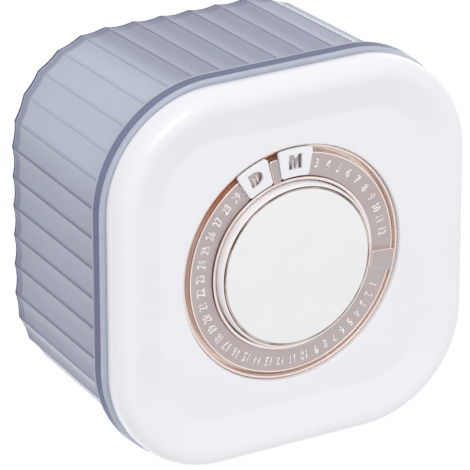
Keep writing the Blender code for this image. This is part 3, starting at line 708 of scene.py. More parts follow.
@dataclass
class Piece:
    """One visible piece and what it stands for.

    Attributes:
        name: Name of the object.
        mesh: Its mesh.
        body: The body it rides on.
        slot: Name of a material slot; not used.
        finishes: Its materials.
        nodes: The CAD nodes it replaces.
        smooth_below: Edges flatter than this angle are smooth, in degrees.
        far: A second body, for a piece that stretches between two; such a piece is fixed to neither body.
    """

    name: str
    mesh: bpy.types.Mesh
    body: Body
    slot: str
    finishes: Sequence[bpy.types.Material]
    nodes: Sequence[str] = ()
    smooth_below: float = 35.0
    far: Body | None = None

    def build(self) -> bpy.types.Object:
        """Link the piece and dress it, then fix it to its body, or, where it has a second body, bake its
        place and fix it to none.

        Returns:
            The object.
        """
        made = bpy.data.objects.new(self.name, self.mesh)
        bpy.context.scene.collection.objects.link(made)
        for finish in self.finishes:
            self.mesh.materials.append(finish)
        self.mesh.shade_smooth()
        self.mesh.set_sharp_from_angle(angle=math.radians(self.smooth_below))
        if self.far is None:
            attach(made, self.body.value)
        else:
            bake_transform(made)
        if self.nodes:
            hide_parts(*self.nodes)
        LOG.info("%s rides on %s, %d points", self.name, self.body.value, len(self.mesh.vertices))
        return made


def store(mesh: bpy.types.Mesh, name: str, worth: Callable[[Vector], float]) -> None:
    """Store a number on each of a mesh's points.

    Args:
        mesh: The mesh.
        name: Name of the attribute.
        worth: Gives the number from the point's place.
    """
    layer = mesh.attributes.new(name, "FLOAT", "POINT")
    for index, vertex in enumerate(mesh.vertices):
        layer.data[index].value = worth(vertex.co)


def finish_faces(mesh: bpy.types.Mesh, choose: Callable[[float, float], int]) -> None:
    """Give each face a material slot by its place.

    Args:
        mesh: The mesh.
        choose: Gives the slot from the face's distance to the axis and its height.
    """
    for face in mesh.polygons:
        face.material_index = choose(face.center.xy.length, face.center.z)


# The canister's sub-assemblies


@dataclass
class Tub:
    """The fluted see-through tub.

    Attributes:
        finish: Its material.
        height: Height of its rim, read from the frame.
        rim_half: Half width over the rim band, read from the frame.
        overhang: How far the rim band stands out from the wall.
        rim_height: Height of the rim band.
        rim_taper: How far the band narrows upwards.
        stripe_low: Height over the band's lower edge where its dark stripe of painted shade starts.
        stripe: Height over that edge where the stripe ends.
        taper: How much narrower the base is than the wall's top, on each side.
        corner: Corner radius of the wall's top.
        wall: Wall thickness.
        floor: Floor thickness.
        floor_round: Rounding between the floor and the wall, inside.
        foot: Rounding of the foot.
        recess: Steps of the shallow recess under the base, each an inset and a height.
        rows: Heights of the mesh's rows on the wall, closer where the painted shade changes.
        foot_line: Height of the dark line of painted shade round the foot.
        foot_band: Heights between which the wall over it gets half the painted shade.
        depth: Depth of a flute.
        fade: Height over which the flutes end under the rim.
        side_flutes: Flutes on each side.
        corner_flutes: Flutes round each corner.
        stops: Places across a flute where the wall has a point.
        stripe_painted_shade: Share of painted shade on the stripe.
        side_painted_shade: Share of painted shade on the two sides across Y.
        corner_painted_shade: Share of painted shade at two of the corners.
    """

    finish: bpy.types.Material
    height: float = field(init=False)
    rim_half: float = field(init=False)
    overhang: float = 3.0 * MM
    rim_height: float = 6.4 * MM
    rim_taper: float = 0.7 * MM
    stripe_low: float = 1.3 * MM
    stripe: float = 4.6 * MM
    taper: float = 2.4 * MM
    corner: float = 38.2 * MM
    wall: float = 2.4 * MM
    floor: float = 3.0 * MM
    floor_round: float = 3.0 * MM
    foot: float = 1.8 * MM
    recess: tuple[tuple[float, ...], ...] = (
        millimetres(9.0, 0.5), millimetres(6.0, 0.5), millimetres(5.4, 0.35),
        millimetres(5.1, 0.1), millimetres(4.6, 0.0),
    )
    rows: tuple[float, ...] = millimetres(2.2, 2.3, 2.8, 2.9, 5.6, 6.6, 20.0, 36.0, 50.0)
    foot_line: float = 2.25 * MM
    foot_band: tuple[float, ...] = millimetres(2.85, 6.0)
    depth: float = 0.7 * MM
    fade: float = 3.0 * MM
    side_flutes: int = 5
    corner_flutes: int = 6
    stops: tuple[float, ...] = (0.0, 0.025, 0.055, 0.14, 0.3, 0.5, 0.7, 0.86, 0.975)
    stripe_painted_shade: float = 0.7
    side_painted_shade: float = 0.26
    corner_painted_shade: float = 0.4

    def __post_init__(self) -> None:
        """Read the height and width from the frame."""
        _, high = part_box("tub")
        self.height = high.z
        self.rim_half = high.x

    @property
    def top_half(self) -> float:
        """Half width of the wall under the rim band."""
        return self.rim_half - self.overhang

    @property
    def straight(self) -> float:
        """Half the length of a straight side."""
        return self.top_half - self.corner

    @property
    def rim_low(self) -> float:
        """Height of the rim band's lower edge."""
        return self.height - self.rim_height

    def half(self, z: float) -> float:
        """Return the half width of the wall's ridges at a height."""
        return self.top_half - self.taper * (1.0 - z / self.rim_low)

    def outline(self, half: float, depth: float = 0.0) -> Outline:
        """Return the outline of the wall.

        Args:
            half: Half width over the ridges.
            depth: Depth of the flutes.

        Returns:
            The points.
        """
        made = []
        for along, outward in sides():
            for flute in range(self.side_flutes):
                for stop in self.stops:
                    run = self.straight * (2 * (flute + stop) / self.side_flutes - 1)
                    dip = depth * math.sin(math.pi * stop)
                    made.append(along * run + outward * (half - dip))
            centre = (along + outward) * self.straight
            for flute in range(self.corner_flutes):
                for stop in self.stops:
                    swing = TAU / 4 * (flute + stop) / self.corner_flutes
                    reach = half - self.straight - depth * math.sin(math.pi * stop)
                    facing = outward * math.cos(swing) + along * math.sin(swing)
                    made.append(centre + facing * reach)
        return made

    def rings(self) -> list[Ring]:
        """Make the tub's rings, up the outside, over the rim and down the inside.

        Returns:
            The rings.
        """
        made: list[Ring] = []
        for inset, z in self.recess:
            made.append((self.outline(self.half(0.0) - inset, self.depth), z))
        for risen, left in quarter_round(5):
            z = self.foot * risen
            made.append((self.outline(self.half(z) - self.foot * left, self.depth), z))
        for z in self.rows:
            made.append((self.outline(self.half(z), self.depth), z))
        for step in range(7):
            share = step / 6
            z = self.rim_low - self.fade * (1.0 - share)
            made.append((self.outline(self.half(z), self.depth * math.sqrt(1.0 - share * share)), z))
        made += [(self.outline(out), z) for out, z in self.rim_profile()[1:]]
        for z in (self.rim_low * 0.6, self.rim_low * 0.25, self.floor + 4.0 * MM):
            made.append((self.outline(self.half(z) - self.wall), z))
        hollow = self.half(self.floor) - self.wall
        for gone, left in quarter_round(4):
            outline = self.outline(hollow - self.floor_round * gone)
            made.append((outline, self.floor + self.floor_round * left))
        made.append((self.outline(hollow - 2.0 * self.floor_round), self.floor))
        return made

    def rim_profile(self) -> list[Point]:
        """Make the section of the rim band, from its lower edge, over the rim and inside.

        Returns:
            The half width and height at each point.
        """
        rim, low, taper = self.rim_half, self.rim_low, self.rim_taper
        mouth = self.half(low) - self.wall
        corners = [
            (self.top_half, low, 0.0),
            (rim, low, 0.8 * MM),
            (rim - taper * 0.1, low + self.stripe_low, 0.0),
            (rim - taper * 0.12, low + self.stripe_low + 0.1 * MM, 0.0),
            (rim - taper * 0.5, low + self.stripe, 0.0),
            (rim - taper * 0.53, low + self.stripe + 0.2 * MM, 0.0),
            (rim - taper, self.height, 0.5 * MM),
            (mouth, self.height, 0.4 * MM),
            (mouth, low, 0.0),
        ]
        return softened(corners, closed=False, steps=4)

    def thickness(self, place: Vector) -> float:
        """Tell how much painted shade a place gets: dark lines at the flute ridges, the sides across Y,
        two corners, the rim band's stripe and the foot.

        Args:
            place: The place, in the frame.

        Returns:
            The share of painted shade, from 0 to 1.
        """
        flat = Vector((abs(place.x), abs(place.y)))
        past = Vector((max(0.0, flat.x - self.straight), max(0.0, flat.y - self.straight)))
        reach = self.straight + past.length
        # Painted shade on the rim band: a dark stripe across its outer face.
        if place.z > self.rim_low - 0.01 * MM:
            if reach < self.rim_half - 1.6 * MM:
                return 0.0
            climb = place.z - self.rim_low
            on_stripe = self.stripe_low + 0.05 * MM < climb < self.stripe + 0.1 * MM
            return self.stripe_painted_shade if on_stripe else 0.0
        dip = self.half(place.z) - reach
        if dip > self.depth + 0.5 * MM and place.z > self.foot:
            return 0.0
        # Painted shade below the rim: dark lines along the flute ridges, darker sides across Y, two darker
        # corners and a dark foot.
        round_part = self.corner_share(place)
        shaded_corner = place.x * place.y > 0.0
        fade = 0.0 if shaded_corner else 0.7 * round_part
        crease = (1.0 - fade) * max(0.0, 1.0 - dip / (0.15 * self.depth))
        side = self.side_painted_shade * (1.0 - round_part) if abs(place.y) > abs(place.x) else 0.0
        if shaded_corner:
            side = max(side, self.corner_painted_shade * round_part)
        foot = 0.0
        if place.z < self.foot_line:
            foot = 1.0 if dip < 3.0 * MM else 0.0
        elif self.foot_band[0] < place.z < self.foot_band[1]:
            foot = 0.5
        return max(crease, side, foot)

    def painted_light_share(self, place: Vector) -> float:
        """Tell how much painted light a place gets: paler at two corners and over the rim band's top.

        Args:
            place: The place, in the frame.

        Returns:
            The share of painted light, from 0 to 1.
        """
        if place.z > self.rim_low + self.stripe:
            return 1.0
        return self.corner_share(place) if place.x * place.y < 0.0 else 0.0

    def corner_share(self, place: Vector) -> float:
        """Return how far a place is round a corner, from 0 to 1."""
        return eased((min(abs(place.x), abs(place.y)) - self.straight) / (14.0 * MM))

    def build(self) -> None:
        """Build the tub."""
        mesh = loft("tub_shell", self.rings())
        # Painted shade and painted light, stored on the points for the tub's material.
        store(mesh, "painted_shade", self.thickness)
        store(mesh, "painted_light", self.painted_light_share)
        Piece("tub_shell", mesh, Body.TUB, "smoky_clear", [self.finish], ["tub"], 15.0).build()


@dataclass
class LidCover:
    """The dished white cover with its rolled edge and screw bosses.

    Attributes:
        finish: Its material.
        wall: Wall thickness.
        rim: Width of the rolled rim outside the dish.
        slope: Width of the slope down into the dish.
        dish: Depth of the dish.
        corner: Corner radius of the lid.
        edge: Rounding of the upper edge.
        hole_round: Rounding of the dial hole's upper edge.
        boss_radius: Radius of a screw boss.
        boss_foot: Height of a boss's foot over the plug's underside.
        side: Steps along a side.
        corner_steps: Steps round a corner.
        inner_step: Distance from the dish's edge to the first row of its flat floor.
        half: Half width of the lid, read from the frame.
    """

    finish: bpy.types.Material
    wall: float = 2.2 * MM
    rim: float = 6.0 * MM
    slope: float = 10.5 * MM
    dish: float = 2.8 * MM
    corner: float = 38.0 * MM
    edge: float = 4.6 * MM
    hole_round: float = 0.7 * MM
    boss_radius: float = 3.5 * MM
    boss_foot: float = 3.3 * MM
    side: int = 14
    corner_steps: int = 22
    inner_step: float = 2.5 * MM
    half: float = field(init=False)

    def __post_init__(self) -> None:
        """Read the width from the frame."""
        self.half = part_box("lid_cover")[1].x

    def ring(self, half: float, z: float) -> Ring:
        """Return one ring of the lid's outline.

        Args:
            half: Half its width.
            z: Its height.

        Returns:
            The ring.
        """
        straight = min(self.half - self.corner, half - 12 * MM)
        return rounded_square(half, straight, self.side, self.corner_steps), z

    def build(self) -> None:
        """Build the cover."""
        bottom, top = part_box("tub")[1].z + SEAT_GAP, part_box("lid_cover")[1].z
        dial = DateDial.outer_radius() + SEAT_GAP
        base, _ = self.ring(self.half, 0.0)
        hole = [point.normalized() * dial for point in base]
        floor_z, under = top - self.dish, top - self.dish - self.wall
        rim_half = self.half - self.rim
        dish_half = rim_half - self.slope
        rings: list[Ring] = []
        for gone, left in quarter_round(5):
            spread = 1.0 + self.hole_round * gone / dial
            rings.append(([p * spread for p in hole], floor_z - self.hole_round * left))
        rings.append(([p * (1 + 3.0 * MM / dial) for p in hole], floor_z))
        rings.append(self.ring(dish_half - self.inner_step, floor_z))
        slope = [(-0.2, 0.0, 0.0), (0.0, 0.0, 0.16), (1.0, 1.0, 0.16), (1.2, 1.0, 0.0)]
        for share, lift in softened(slope, closed=False, steps=7)[1:-1]:
            rings.append(self.ring(dish_half + self.slope * share, floor_z + self.dish * lift))
        rings.append(self.ring(self.half - self.edge - 0.5 * MM, top))
        for fallen, left in quarter_round(10):
            rings.append(self.ring(self.half - self.edge * left, top - self.edge * fallen))
        rings.append(self.ring(self.half, (top - self.edge + bottom) / 2))
        inside = self.half - self.wall
        corners = [
            (self.half, bottom + 2.0 * MM, 0.0),
            (self.half, bottom, 0.5 * MM),
            (inside, bottom, 0.5 * MM),
            (inside, top - self.edge, 1.0 * MM),
            (inside - self.edge * 0.5, top - self.wall, 1.0 * MM),
            (rim_half - self.slope * 0.2, top - self.wall - 0.3 * MM, 1.0 * MM),
            (dish_half, under, 1.0 * MM),
            (dish_half - self.inner_step, under, 0.0),
        ]
        rings += [self.ring(out, z) for out, z in softened(corners, closed=False, steps=3)]
        rings.append((hole, under))
        mesh = loft("lid_shell", rings, closed=True)
        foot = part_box("lid_base")[0].z + self.boss_foot
        add_bosses(mesh, "base_screw", self.boss_radius, foot, under + 0.6 * MM, 28)
        Piece("lid_shell", mesh, Body.LID, "gloss_white", [self.finish], ["lid_cover"], 28.0).build()


class DialFinish(Enum):
    """Material slots of the date dial, two of them dark painted shade."""

    SATIN = 0
    POLISHED = 1
    SHADED_COPPER = 2
    WALL = 3
    LINE = 4


class Window(Enum):
    """Shapes of the sliders' windows."""

    DAY = "D"
    MONTH = "M"


@dataclass(frozen=True)
class Slider:
    """One date slider.

    Attributes:
        node: The CAD node it stands for.
        window: Shape of its window.
        body: The body it rides on.
        clock: Its place at rest.
        span: The angle it covers, in degrees.
    """

    node: str
    window: Window
    body: Body
    clock: float
    span: float


@dataclass(frozen=True)
class Stop:
    """One raised stop at the end of a slider's way.

    Attributes:
        name: Its name.
        clock: Its place.
        span: The angle it covers, in degrees.
    """

    name: str
    clock: float
    span: float


SLIDERS = (
    Slider("day_slider", Window.DAY, Body.DAY, 336.7, 17.2),
    Slider("month_slider", Window.MONTH, Body.MONTH, 0.6, 18.8),
)
STOPS = (Stop("top_stop", 348.3, 5.0), Stop("side_stop", 99.8, 11.6))


@dataclass
class DateDial:
    """The plated tray with raised dates, its two stops and its two sliders.

    Attributes:
        finishes: The plating of each DialFinish, two of them dark painted shade.
        digit_finish: Finish of the raised dates, with painted glints.
        slider_finish: Finish of the sliders.
        wall: Thickness of the tray's outer wall.
        wall_drop: How far its edge lies below the dish.
        flange_reach: How far the screwed flange stands out.
        flange: Thickness of the flange.
        flange_drop: Depth of the flange below the dish.
        undercut: Width of the groove's undercut, where the sliders hook in.
        undercut_height: Height of the undercut.
        groove_width: Width of the groove between the face and the wall.
        face_depth: Depth of the face below the dish.
        groove_depth: Depth of the groove below the dish.
        lip: Height of the bright line at the face's outer edge.
        ring_rise: Height of the inner ring over the face.
        ring_width: Width of the inner ring.
        stop_rise: Height of the stops over the face.
        slider_proud: How far the sliders stand over the dish.
        slide_gap: Clearance beside a sliding piece.
        digit_height: Height of a digit along the radius.
        digit_rise: How far the digits stand up.
        digit_share: Share of the font's size that a digit is high.
        digit_narrow: How much narrower the digits are than the font's.
        month_start: Place of the first month.
        month_pitch: Angle between months, in degrees.
        day_places: Measured places of some days, with even steps between them.
        copper_shade_clock: Place where the groove's wall gets the most coppery painted shade.
    """

    finishes: Sequence[bpy.types.Material]
    digit_finish: bpy.types.Material
    slider_finish: bpy.types.Material
    wall: float = 0.8 * MM
    wall_drop: float = 1.4 * MM
    flange_reach: float = 5.6 * MM
    flange: float = 1.9 * MM
    flange_drop: float = 2.5 * MM
    undercut: float = 0.8 * MM
    undercut_height: float = 1.2 * MM
    groove_width: float = 1.6 * MM
    face_depth: float = 1.0 * MM
    groove_depth: float = 4.4 * MM
    lip: float = 0.18 * MM
    ring_rise: float = 0.9 * MM
    ring_width: float = 1.4 * MM
    stop_rise: float = 1.5 * MM
    slider_proud: float = 0.8 * MM
    slide_gap: float = 0.35 * MM
    digit_height: float = 3.2 * MM
    digit_rise: float = 0.22 * MM
    digit_share: float = 0.73
    digit_narrow: float = 0.70
    month_start: float = 0.4
    month_pitch: float = 7.55
    day_places: tuple[tuple[int, float], ...] = (
        (1, 115.1), (9, 164.3), (20, 248.2), (29, 322.6), (31, 336.7),
    )
    copper_shade_clock: float = -25.0

    @staticmethod
    def outer_radius() -> float:
        """Return the dial's visible radius, inside its screwed flange."""
        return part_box("dial_tray")[1].x - DateDial.flange_reach

    def __post_init__(self) -> None:
        """Read the dial's heights and radii from the frame."""
        self.radius = self.outer_radius()
        self.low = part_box("dial_tray")[0].z
        self.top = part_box("lid_cover")[1].z - LidCover.dish
        self.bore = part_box("button_shell")[1].x - PushButton.flange + self.slide_gap
        self.ring_outer = self.bore + self.ring_width
        self.face_outer = self.radius - self.wall - self.groove_width
        self.face_z = self.top - self.face_depth
        self.groove_z = self.top - self.groove_depth

    def build_tray(self) -> None:
        """Build the turned tray with its polished edges."""
        inner_wall, wall_top = self.radius - self.wall, self.top - self.wall_drop
        edge, flange_top = self.radius + self.flange_reach, self.top - self.flange_drop
        flange_low = flange_top - self.flange
        face, ring_top = self.face_z, self.face_z + self.ring_rise
        undercut, undercut_top = inner_wall + self.undercut, self.groove_z + self.undercut_height
        corners = [
            (self.radius, wall_top, 0.25 * MM),
            (self.radius, flange_top, 0.0),
            (edge, flange_top, 0.3 * MM),
            (edge, flange_low, 0.3 * MM),
            (self.radius + 1.0 * MM, flange_low, 0.3 * MM),
            (self.radius - 0.5 * MM, self.low, 0.3 * MM),
            (self.bore, self.low, 0.2 * MM),
            (self.bore, ring_top, 0.35 * MM),
            (self.ring_outer - 0.25 * MM, ring_top, 0.3 * MM),
            (self.ring_outer, face, 0.12 * MM),
            (self.face_outer - 0.55 * MM, face, 0.0),
            (self.face_outer - 0.45 * MM, face + self.lip, 0.08 * MM),
            (self.face_outer, face + self.lip, 0.12 * MM),
            (self.face_outer, face - 0.5 * MM, 0.0),
            (self.face_outer, self.groove_z, 0.2 * MM),
            (undercut, self.groove_z, 0.1 * MM),
            (undercut, undercut_top, 0.1 * MM),
            (inner_wall, undercut_top, 0.1 * MM),
            (inner_wall, wall_top, 0.25 * MM),
        ]
        mesh = turned("dial_plate", softened(corners, closed=True), 200, ring=True)

        # Painted shade: coppery brown on the groove's wall beside the parked sliders.
        store(mesh, "painted_copper_shade", self.copper_shade_share)
        finish_faces(mesh, self.tray_finish)
        Piece("dial_plate", mesh, Body.LID, "rose_plated", self.finishes, ["dial_tray"], 30.0).build()

    def tray_finish(self, radius: float, z: float) -> int:
        """Choose the finish of one of the tray's faces, with dark strips of painted shade on the ring's
        outer side and under the face's edge.

        Args:
            radius: The face's distance to the axis.
            z: Its height.

        Returns:
            The value of its DialFinish.
        """
        face, inner_wall = self.face_z, self.radius - self.wall
        if self.ring_outer < radius < self.face_outer - 0.6 * MM and abs(z - face) < 0.1 * MM:
            return DialFinish.SATIN.value
        # Painted shadow: a dark line on the ring's outer side.
        beside_ring = self.ring_outer - 0.3 * MM < radius <= self.ring_outer
        if beside_ring and face + 0.1 * MM < z < face + self.ring_rise:
            return DialFinish.LINE.value
        if radius < self.face_outer - 0.02 * MM or z > face + 0.05 * MM and radius < inner_wall:
            return DialFinish.POLISHED.value
        # Painted shade: a dark copper strip just under the face's edge.
        in_groove = radius < inner_wall - 0.1 * MM and z > face - 0.5 * MM
        return DialFinish.SHADED_COPPER.value if in_groove else DialFinish.WALL.value

    def copper_shade_share(self, place: Vector) -> float:
        """Tell how much coppery painted shade the groove's wall gets, most beside the parked sliders.

        Args:
            place: The place, in the frame.

        Returns:
            The share of coppery painted shade, from 0 to 1.
        """
        clock = math.degrees(math.atan2(place.x, place.y))
        off = abs((clock - self.copper_shade_clock + 180.0) % 360.0 - 180.0)
        return eased((40.0 - off) / 24.0)

    def build_dates(self) -> None:
        """Build the raised months and days as one piece."""
        radius = (self.ring_outer + self.face_outer) / 2
        numbers = []
        marks = [(str(n), self.month_start + self.month_pitch * (n - 1)) for n in range(1, 13)]
        for (first, start), (last, end) in zip(self.day_places, self.day_places[1:]):
            pitch = (end - start) / (last - first)
            marks += [(str(n), start + pitch * (n - first)) for n in range(first, last)]
        marks.append((str(last), end))
        for text, clock in marks:
            number = self.number(text)
            number.transform(clock_turn(clock) @ Matrix.Translation((0.0, radius, self.face_z)))
            numbers.append(number)
        mesh = bpy.data.meshes.new("dial_dates")
        join_into(mesh, numbers)
        Piece("dial_dates", mesh, Body.LID, "rose_plated", [self.digit_finish], (), 40.0).build()

    def number(self, text: str) -> bpy.types.Mesh:
        """Return a raised number, centred on the origin, its foot at height zero.

        Args:
            text: The digits.

        Returns:
            The mesh.
        """
        curve = bpy.data.curves.new("number", "FONT")
        curve.body = text
        curve.align_x = "CENTER"
        curve.align_y = "CENTER"
        curve.size = 1.0
        curve.resolution_u = 3
        curve.space_character = 1.02
        scale = self.digit_height / self.digit_share
        curve.extrude = 0.6 * self.digit_rise / scale
        curve.bevel_depth = 0.4 * self.digit_rise / scale
        curve.bevel_resolution = 1
        mesh = curve_mesh("number", curve)
        mesh.transform(Matrix.Diagonal((scale * self.digit_narrow, scale, scale, 1.0)))
        return mesh

    def build_stops(self) -> None:
        """Build the two stops that stand up from the face."""
        inner, outer = self.ring_outer - 0.3 * MM, self.face_outer + 0.4 * MM
        low, top = self.face_z - 0.3 * MM, self.face_z + self.stop_rise
        flat = top - 0.04 * MM
        for stop in STOPS:
            outline = sector(inner, outer, math.radians(stop.span / 2), 0.9 * MM)
            mesh = plate(stop.name, [outline], low, top, 0.3 * MM)
            mesh.transform(clock_turn(stop.clock))
            finish_faces(mesh, lambda _, z: (DialFinish.SATIN if z > flat else DialFinish.POLISHED).value)
            Piece(stop.name, mesh, Body.LID, "rose_plated", self.finishes[:2], (), 40.0).build()

    def build_slider(self, slider: Slider) -> None:
        """Build one date slider.

        Args:
            slider: Which one.
        """
        inner = self.ring_outer + self.slide_gap + 0.2 * MM
        outer = self.radius + SEAT_GAP - self.slide_gap
        low, high = self.face_z + SEAT_GAP, self.top + self.slider_proud
        half_angle = math.radians(slider.span / 2)
        outline = sector(inner, outer, half_angle, 1.1 * MM)
        middle = (inner + outer) / 2 + 0.2 * MM
        window = [Vector((x, y + middle)) for x, y in window_outline(slider.window)]
        name = f"{slider.node}_plate"
        mesh = plate(name, [outline, window], low, high, 0.35 * MM)
        leg = self.radius - self.wall - self.slide_gap
        join_into(mesh, [hook_mesh(leg, low, self.groove_z + SEAT_GAP, half_angle * 0.7)])
        mesh.transform(clock_turn(slider.clock))
        finishes = [self.slider_finish]
        Piece(name, mesh, slider.body, "gloss_white", finishes, [slider.node], 40.0).build()

    def build(self) -> None:
        """Build the dial and all that is on it."""
        self.build_tray()
        self.build_dates()
        self.build_stops()
        for slider in SLIDERS:
            self.build_slider(slider)


def sector(inner: float, outer: float, half_angle: float, corner: float) -> Outline:
    """Return a piece of a ring centred on +Y, with rounded corners, clockwise.

    Args:
        inner: Inner radius.
        outer: Outer radius.
        half_angle: Half the angle it covers, in radians.
        corner: Radius of its corners.

    Returns:
        The points.
    """
    made: Outline = []

    def arm(distance: float, angle: float) -> Vector:
        """Return the point at a distance from the centre and an angle from +Y."""
        return Vector((distance * math.sin(angle), distance * math.cos(angle)))

    def round_corner(side: int, centre_radius: float, start: float) -> None:
        """Add one rounded corner.

        Args:
            side: 1 on the clockwise side, -1 on the other.
            centre_radius: Distance of the rounding's own centre.
            start: Direction of its first point, in radians.
        """
        reach = half_angle - corner / centre_radius
        for step in range(7):
            swing = start + TAU / 4 * step / 6
            distance = centre_radius + corner * math.sin(swing)
            made.append(arm(distance, side * reach + corner * math.cos(swing) / distance))

    def arc(radius: float, direction: int) -> None:
        """Add the points between two corners.

        Args:
            radius: The arc's radius.
            direction: 1 where it runs anticlockwise, -1 where it runs clockwise.
        """
        reach = half_angle - corner / radius
        for step in range(1, 16):
            made.append(arm(radius, direction * reach * (1 - 2 * step / 16)))

    round_corner(1, inner + corner, -TAU / 4)
    round_corner(1, outer - corner, 0.0)
    arc(outer, 1)
    round_corner(-1, outer - corner, TAU / 4)
    round_corner(-1, inner + corner, TAU / 2)
    arc(inner, -1)
    return made


def window_outline(window: Window) -> list[Point]:
    """Return the outline of a slider's window, centred on the origin.

    Args:
        window: Its shape.

    Returns:
        The points.
    """
    half_width, half_height, stroke, foot = 2.45 * MM, 2.6 * MM, 1.45 * MM, 0.35 * MM
    if window is Window.DAY:
        points = [(-half_width, -half_height)]
        for step in range(25):
            swing = -TAU / 4 + TAU / 2 * step / 24
            bulge = half_width + half_height * 0.2
            points.append((bulge * math.cos(swing) - half_width * 0.2, half_height * math.sin(swing)))
        points.append((-half_width, half_height))
        return points
    notch = stroke - half_height * 0.15
    right = [
        (half_width, -half_height),
        (half_width, half_height),
        (half_width - stroke, half_height),
        (0.0, notch),
    ]
    inner = [
        (-half_width, -half_height),
        (stroke - half_width, -half_height),
        (stroke - half_width, 0.0),
        (-foot, -half_height),
        (foot, -half_height),
        (half_width - stroke, 0.0),
        (half_width - stroke, -half_height),
    ]
    return right + [(-x, y) for x, y in reversed(right[:3])][:2] + inner


def plate(name: str, outlines: Sequence[Sequence], low: float, high: float, edge: float) -> bpy.types.Mesh:
    """Return a flat plate with rolled edges.

    Args:
        name: Name of the mesh.
        outlines: The outer outline, then those of its holes.
        low: Height of its underside.
        high: Height of its top.
        edge: Radius of its edges.

    Returns:
        The mesh.
    """
    curve = bpy.data.curves.new(name, "CURVE")
    curve.dimensions = "2D"
    curve.fill_mode = "BOTH"
    curve.extrude = (high - low) / 2 - edge
    curve.bevel_depth = edge
    curve.bevel_resolution = 3
    curve.offset = -edge
    for outline in outlines:
        spline = curve.splines.new("POLY")
        spline.points.add(len(outline) - 1)
        for point, (x, y) in zip(spline.points, outline):
            point.co = (x, y, 0.0, 1.0)
        spline.use_cyclic_u = True
    mesh = curve_mesh(name, curve)
    mesh.transform(Matrix.Translation((0.0, 0.0, (low + high) / 2)))
    return mesh


def hook_mesh(outer: float, low: float, bottom: float, half_angle: float) -> bpy.types.Mesh:
    """Return the hook under a slider, centred on +Y.

    Args:
        outer: Outer radius of the hook's leg.
        low: Height of the slider's underside.
        bottom: Height of the hook's lowest point.
        half_angle: Half the angle it covers, in radians.

    Returns:
        The mesh.
    """
    leg, reach, toe = outer - 0.9 * MM, outer + 0.85 * MM, 0.6 * MM
    section = [
        (leg, low + 0.5 * MM),
        (leg, bottom),
        (reach, bottom),
        (reach, bottom + toe),
        (outer - 0.02 * MM, bottom + toe),
        (outer - 0.02 * MM, low + 0.5 * MM),
    ]
    steps, count = 12, len(section)
    points, faces = [], []
    for step in range(steps + 1):
        angle = half_angle * (2 * step / steps - 1)
        points += [(r * math.sin(angle), r * math.cos(angle), z) for r, z in section]
    for step in range(steps):
        for index in range(count):
            here, there = step * count, (step + 1) * count
            after = (index + 1) % count
            faces.append((here + index, here + after, there + after, there + index))
    faces.append(tuple(range(count)))
    faces.append(tuple(range(steps * count, (steps + 1) * count)))
    return new_mesh("hook", points, faces)


@dataclass
class PushButton:
    """The button's shell, trim ring and cap.

    Attributes:
        shell_finish: Finish of the shell.
        trim_finish: Finish of the trim ring, with painted reflections.
        cap_finish: Finish of the cap.
        flange: How far the foot's flange stands out.
        flange_height: Height of that flange.
        wall: Wall thickness.
        lip: Width of the shell's top edge beside the trim ring.
        top_plate: Thickness under the cap.
        crown: How far the cap's middle stands over its edge.
        boss_radius: Radius of a screw boss.
        steps: Steps round the axis.
    """

    shell_finish: bpy.types.Material
    trim_finish: bpy.types.Material
    cap_finish: bpy.types.Material
    flange: float = 1.7 * MM
    flange_height: float = 1.2 * MM
    wall: float = 1.8 * MM
    lip: float = 1.0 * MM
    top_plate: float = 1.7 * MM
    crown: float = 0.25 * MM
    boss_radius: float = 3.0 * MM
    steps: int = 160

    def build(self) -> None:
        """Build the three pieces."""
        self.build_shell()
        self.build_trim()
        self.build_cap()

    def build_shell(self) -> None:
        """Build the shell with its screw bosses."""
        low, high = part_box("button_shell")
        radius, top = high.x - self.flange, high.z
        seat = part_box("button_cap")[0].z - SEAT_GAP
        under, flange_top = seat - self.top_plate, low.z + self.flange_height
        recess, inside = radius - self.lip, radius - self.wall
        corners = [
            (0.0, seat, 0.0),
            (recess, seat, 0.15 * MM),
            (recess, top, 0.2 * MM),
            (radius - 0.6 * MM, top, 0.4 * MM),
            (radius, top - 1.1 * MM, 0.7 * MM),
            (radius, flange_top, 0.2 * MM),
            (high.x, flange_top, 0.3 * MM),
            (high.x, low.z, 0.3 * MM),
            (inside, low.z, 0.3 * MM),
            (inside, under, 0.8 * MM),
            (0.0, under, 0.0),
        ]
        mesh = turned("button_body", softened(corners, closed=False), self.steps, ring=False)
        add_bosses(mesh, "plate_screw", self.boss_radius, low.z, under + 0.4 * MM, 24)
        finishes = [self.shell_finish]
        Piece("button_body", mesh, Body.BUTTON, "gloss_white", finishes, ["button_shell"]).build()

    def build_trim(self) -> None:
        """Build the bright ring round the cap."""
        low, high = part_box("button_trim_ring")
        outer, inner = high.x + 0.08 * MM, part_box("button_cap")[1].x + SEAT_GAP
        corners = [
            (outer, high.z, 0.15 * MM),
            (outer, low.z, 0.1 * MM),
            (inner, low.z, 0.1 * MM),
            (inner, high.z, 0.15 * MM),
        ]
        mesh = turned("trim_band", softened(corners, closed=True), self.steps, ring=True)
        finishes = [self.trim_finish]
        Piece("trim_band", mesh, Body.BUTTON, "bright_trim", finishes, ["button_trim_ring"]).build()

    def build_cap(self) -> None:
        """Build the crowned cap."""
        low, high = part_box("button_cap")
        top, edge = high.z - self.crown, high.x + 0.27 * MM
        corners = []
        for step in range(8):
            share = step / 8
            corners.append((edge * share, top + self.crown * (1 - share * share), 0.0))
        corners += [(edge, top, 0.5 * MM), (edge, low.z, 0.15 * MM), (0.0, low.z, 0.0)]
        mesh = turned("cap_disc", softened(corners, closed=False), self.steps, ring=False)
        Piece("cap_disc", mesh, Body.BUTTON, "satin_cream", [self.cap_finish], ["button_cap"]).build()


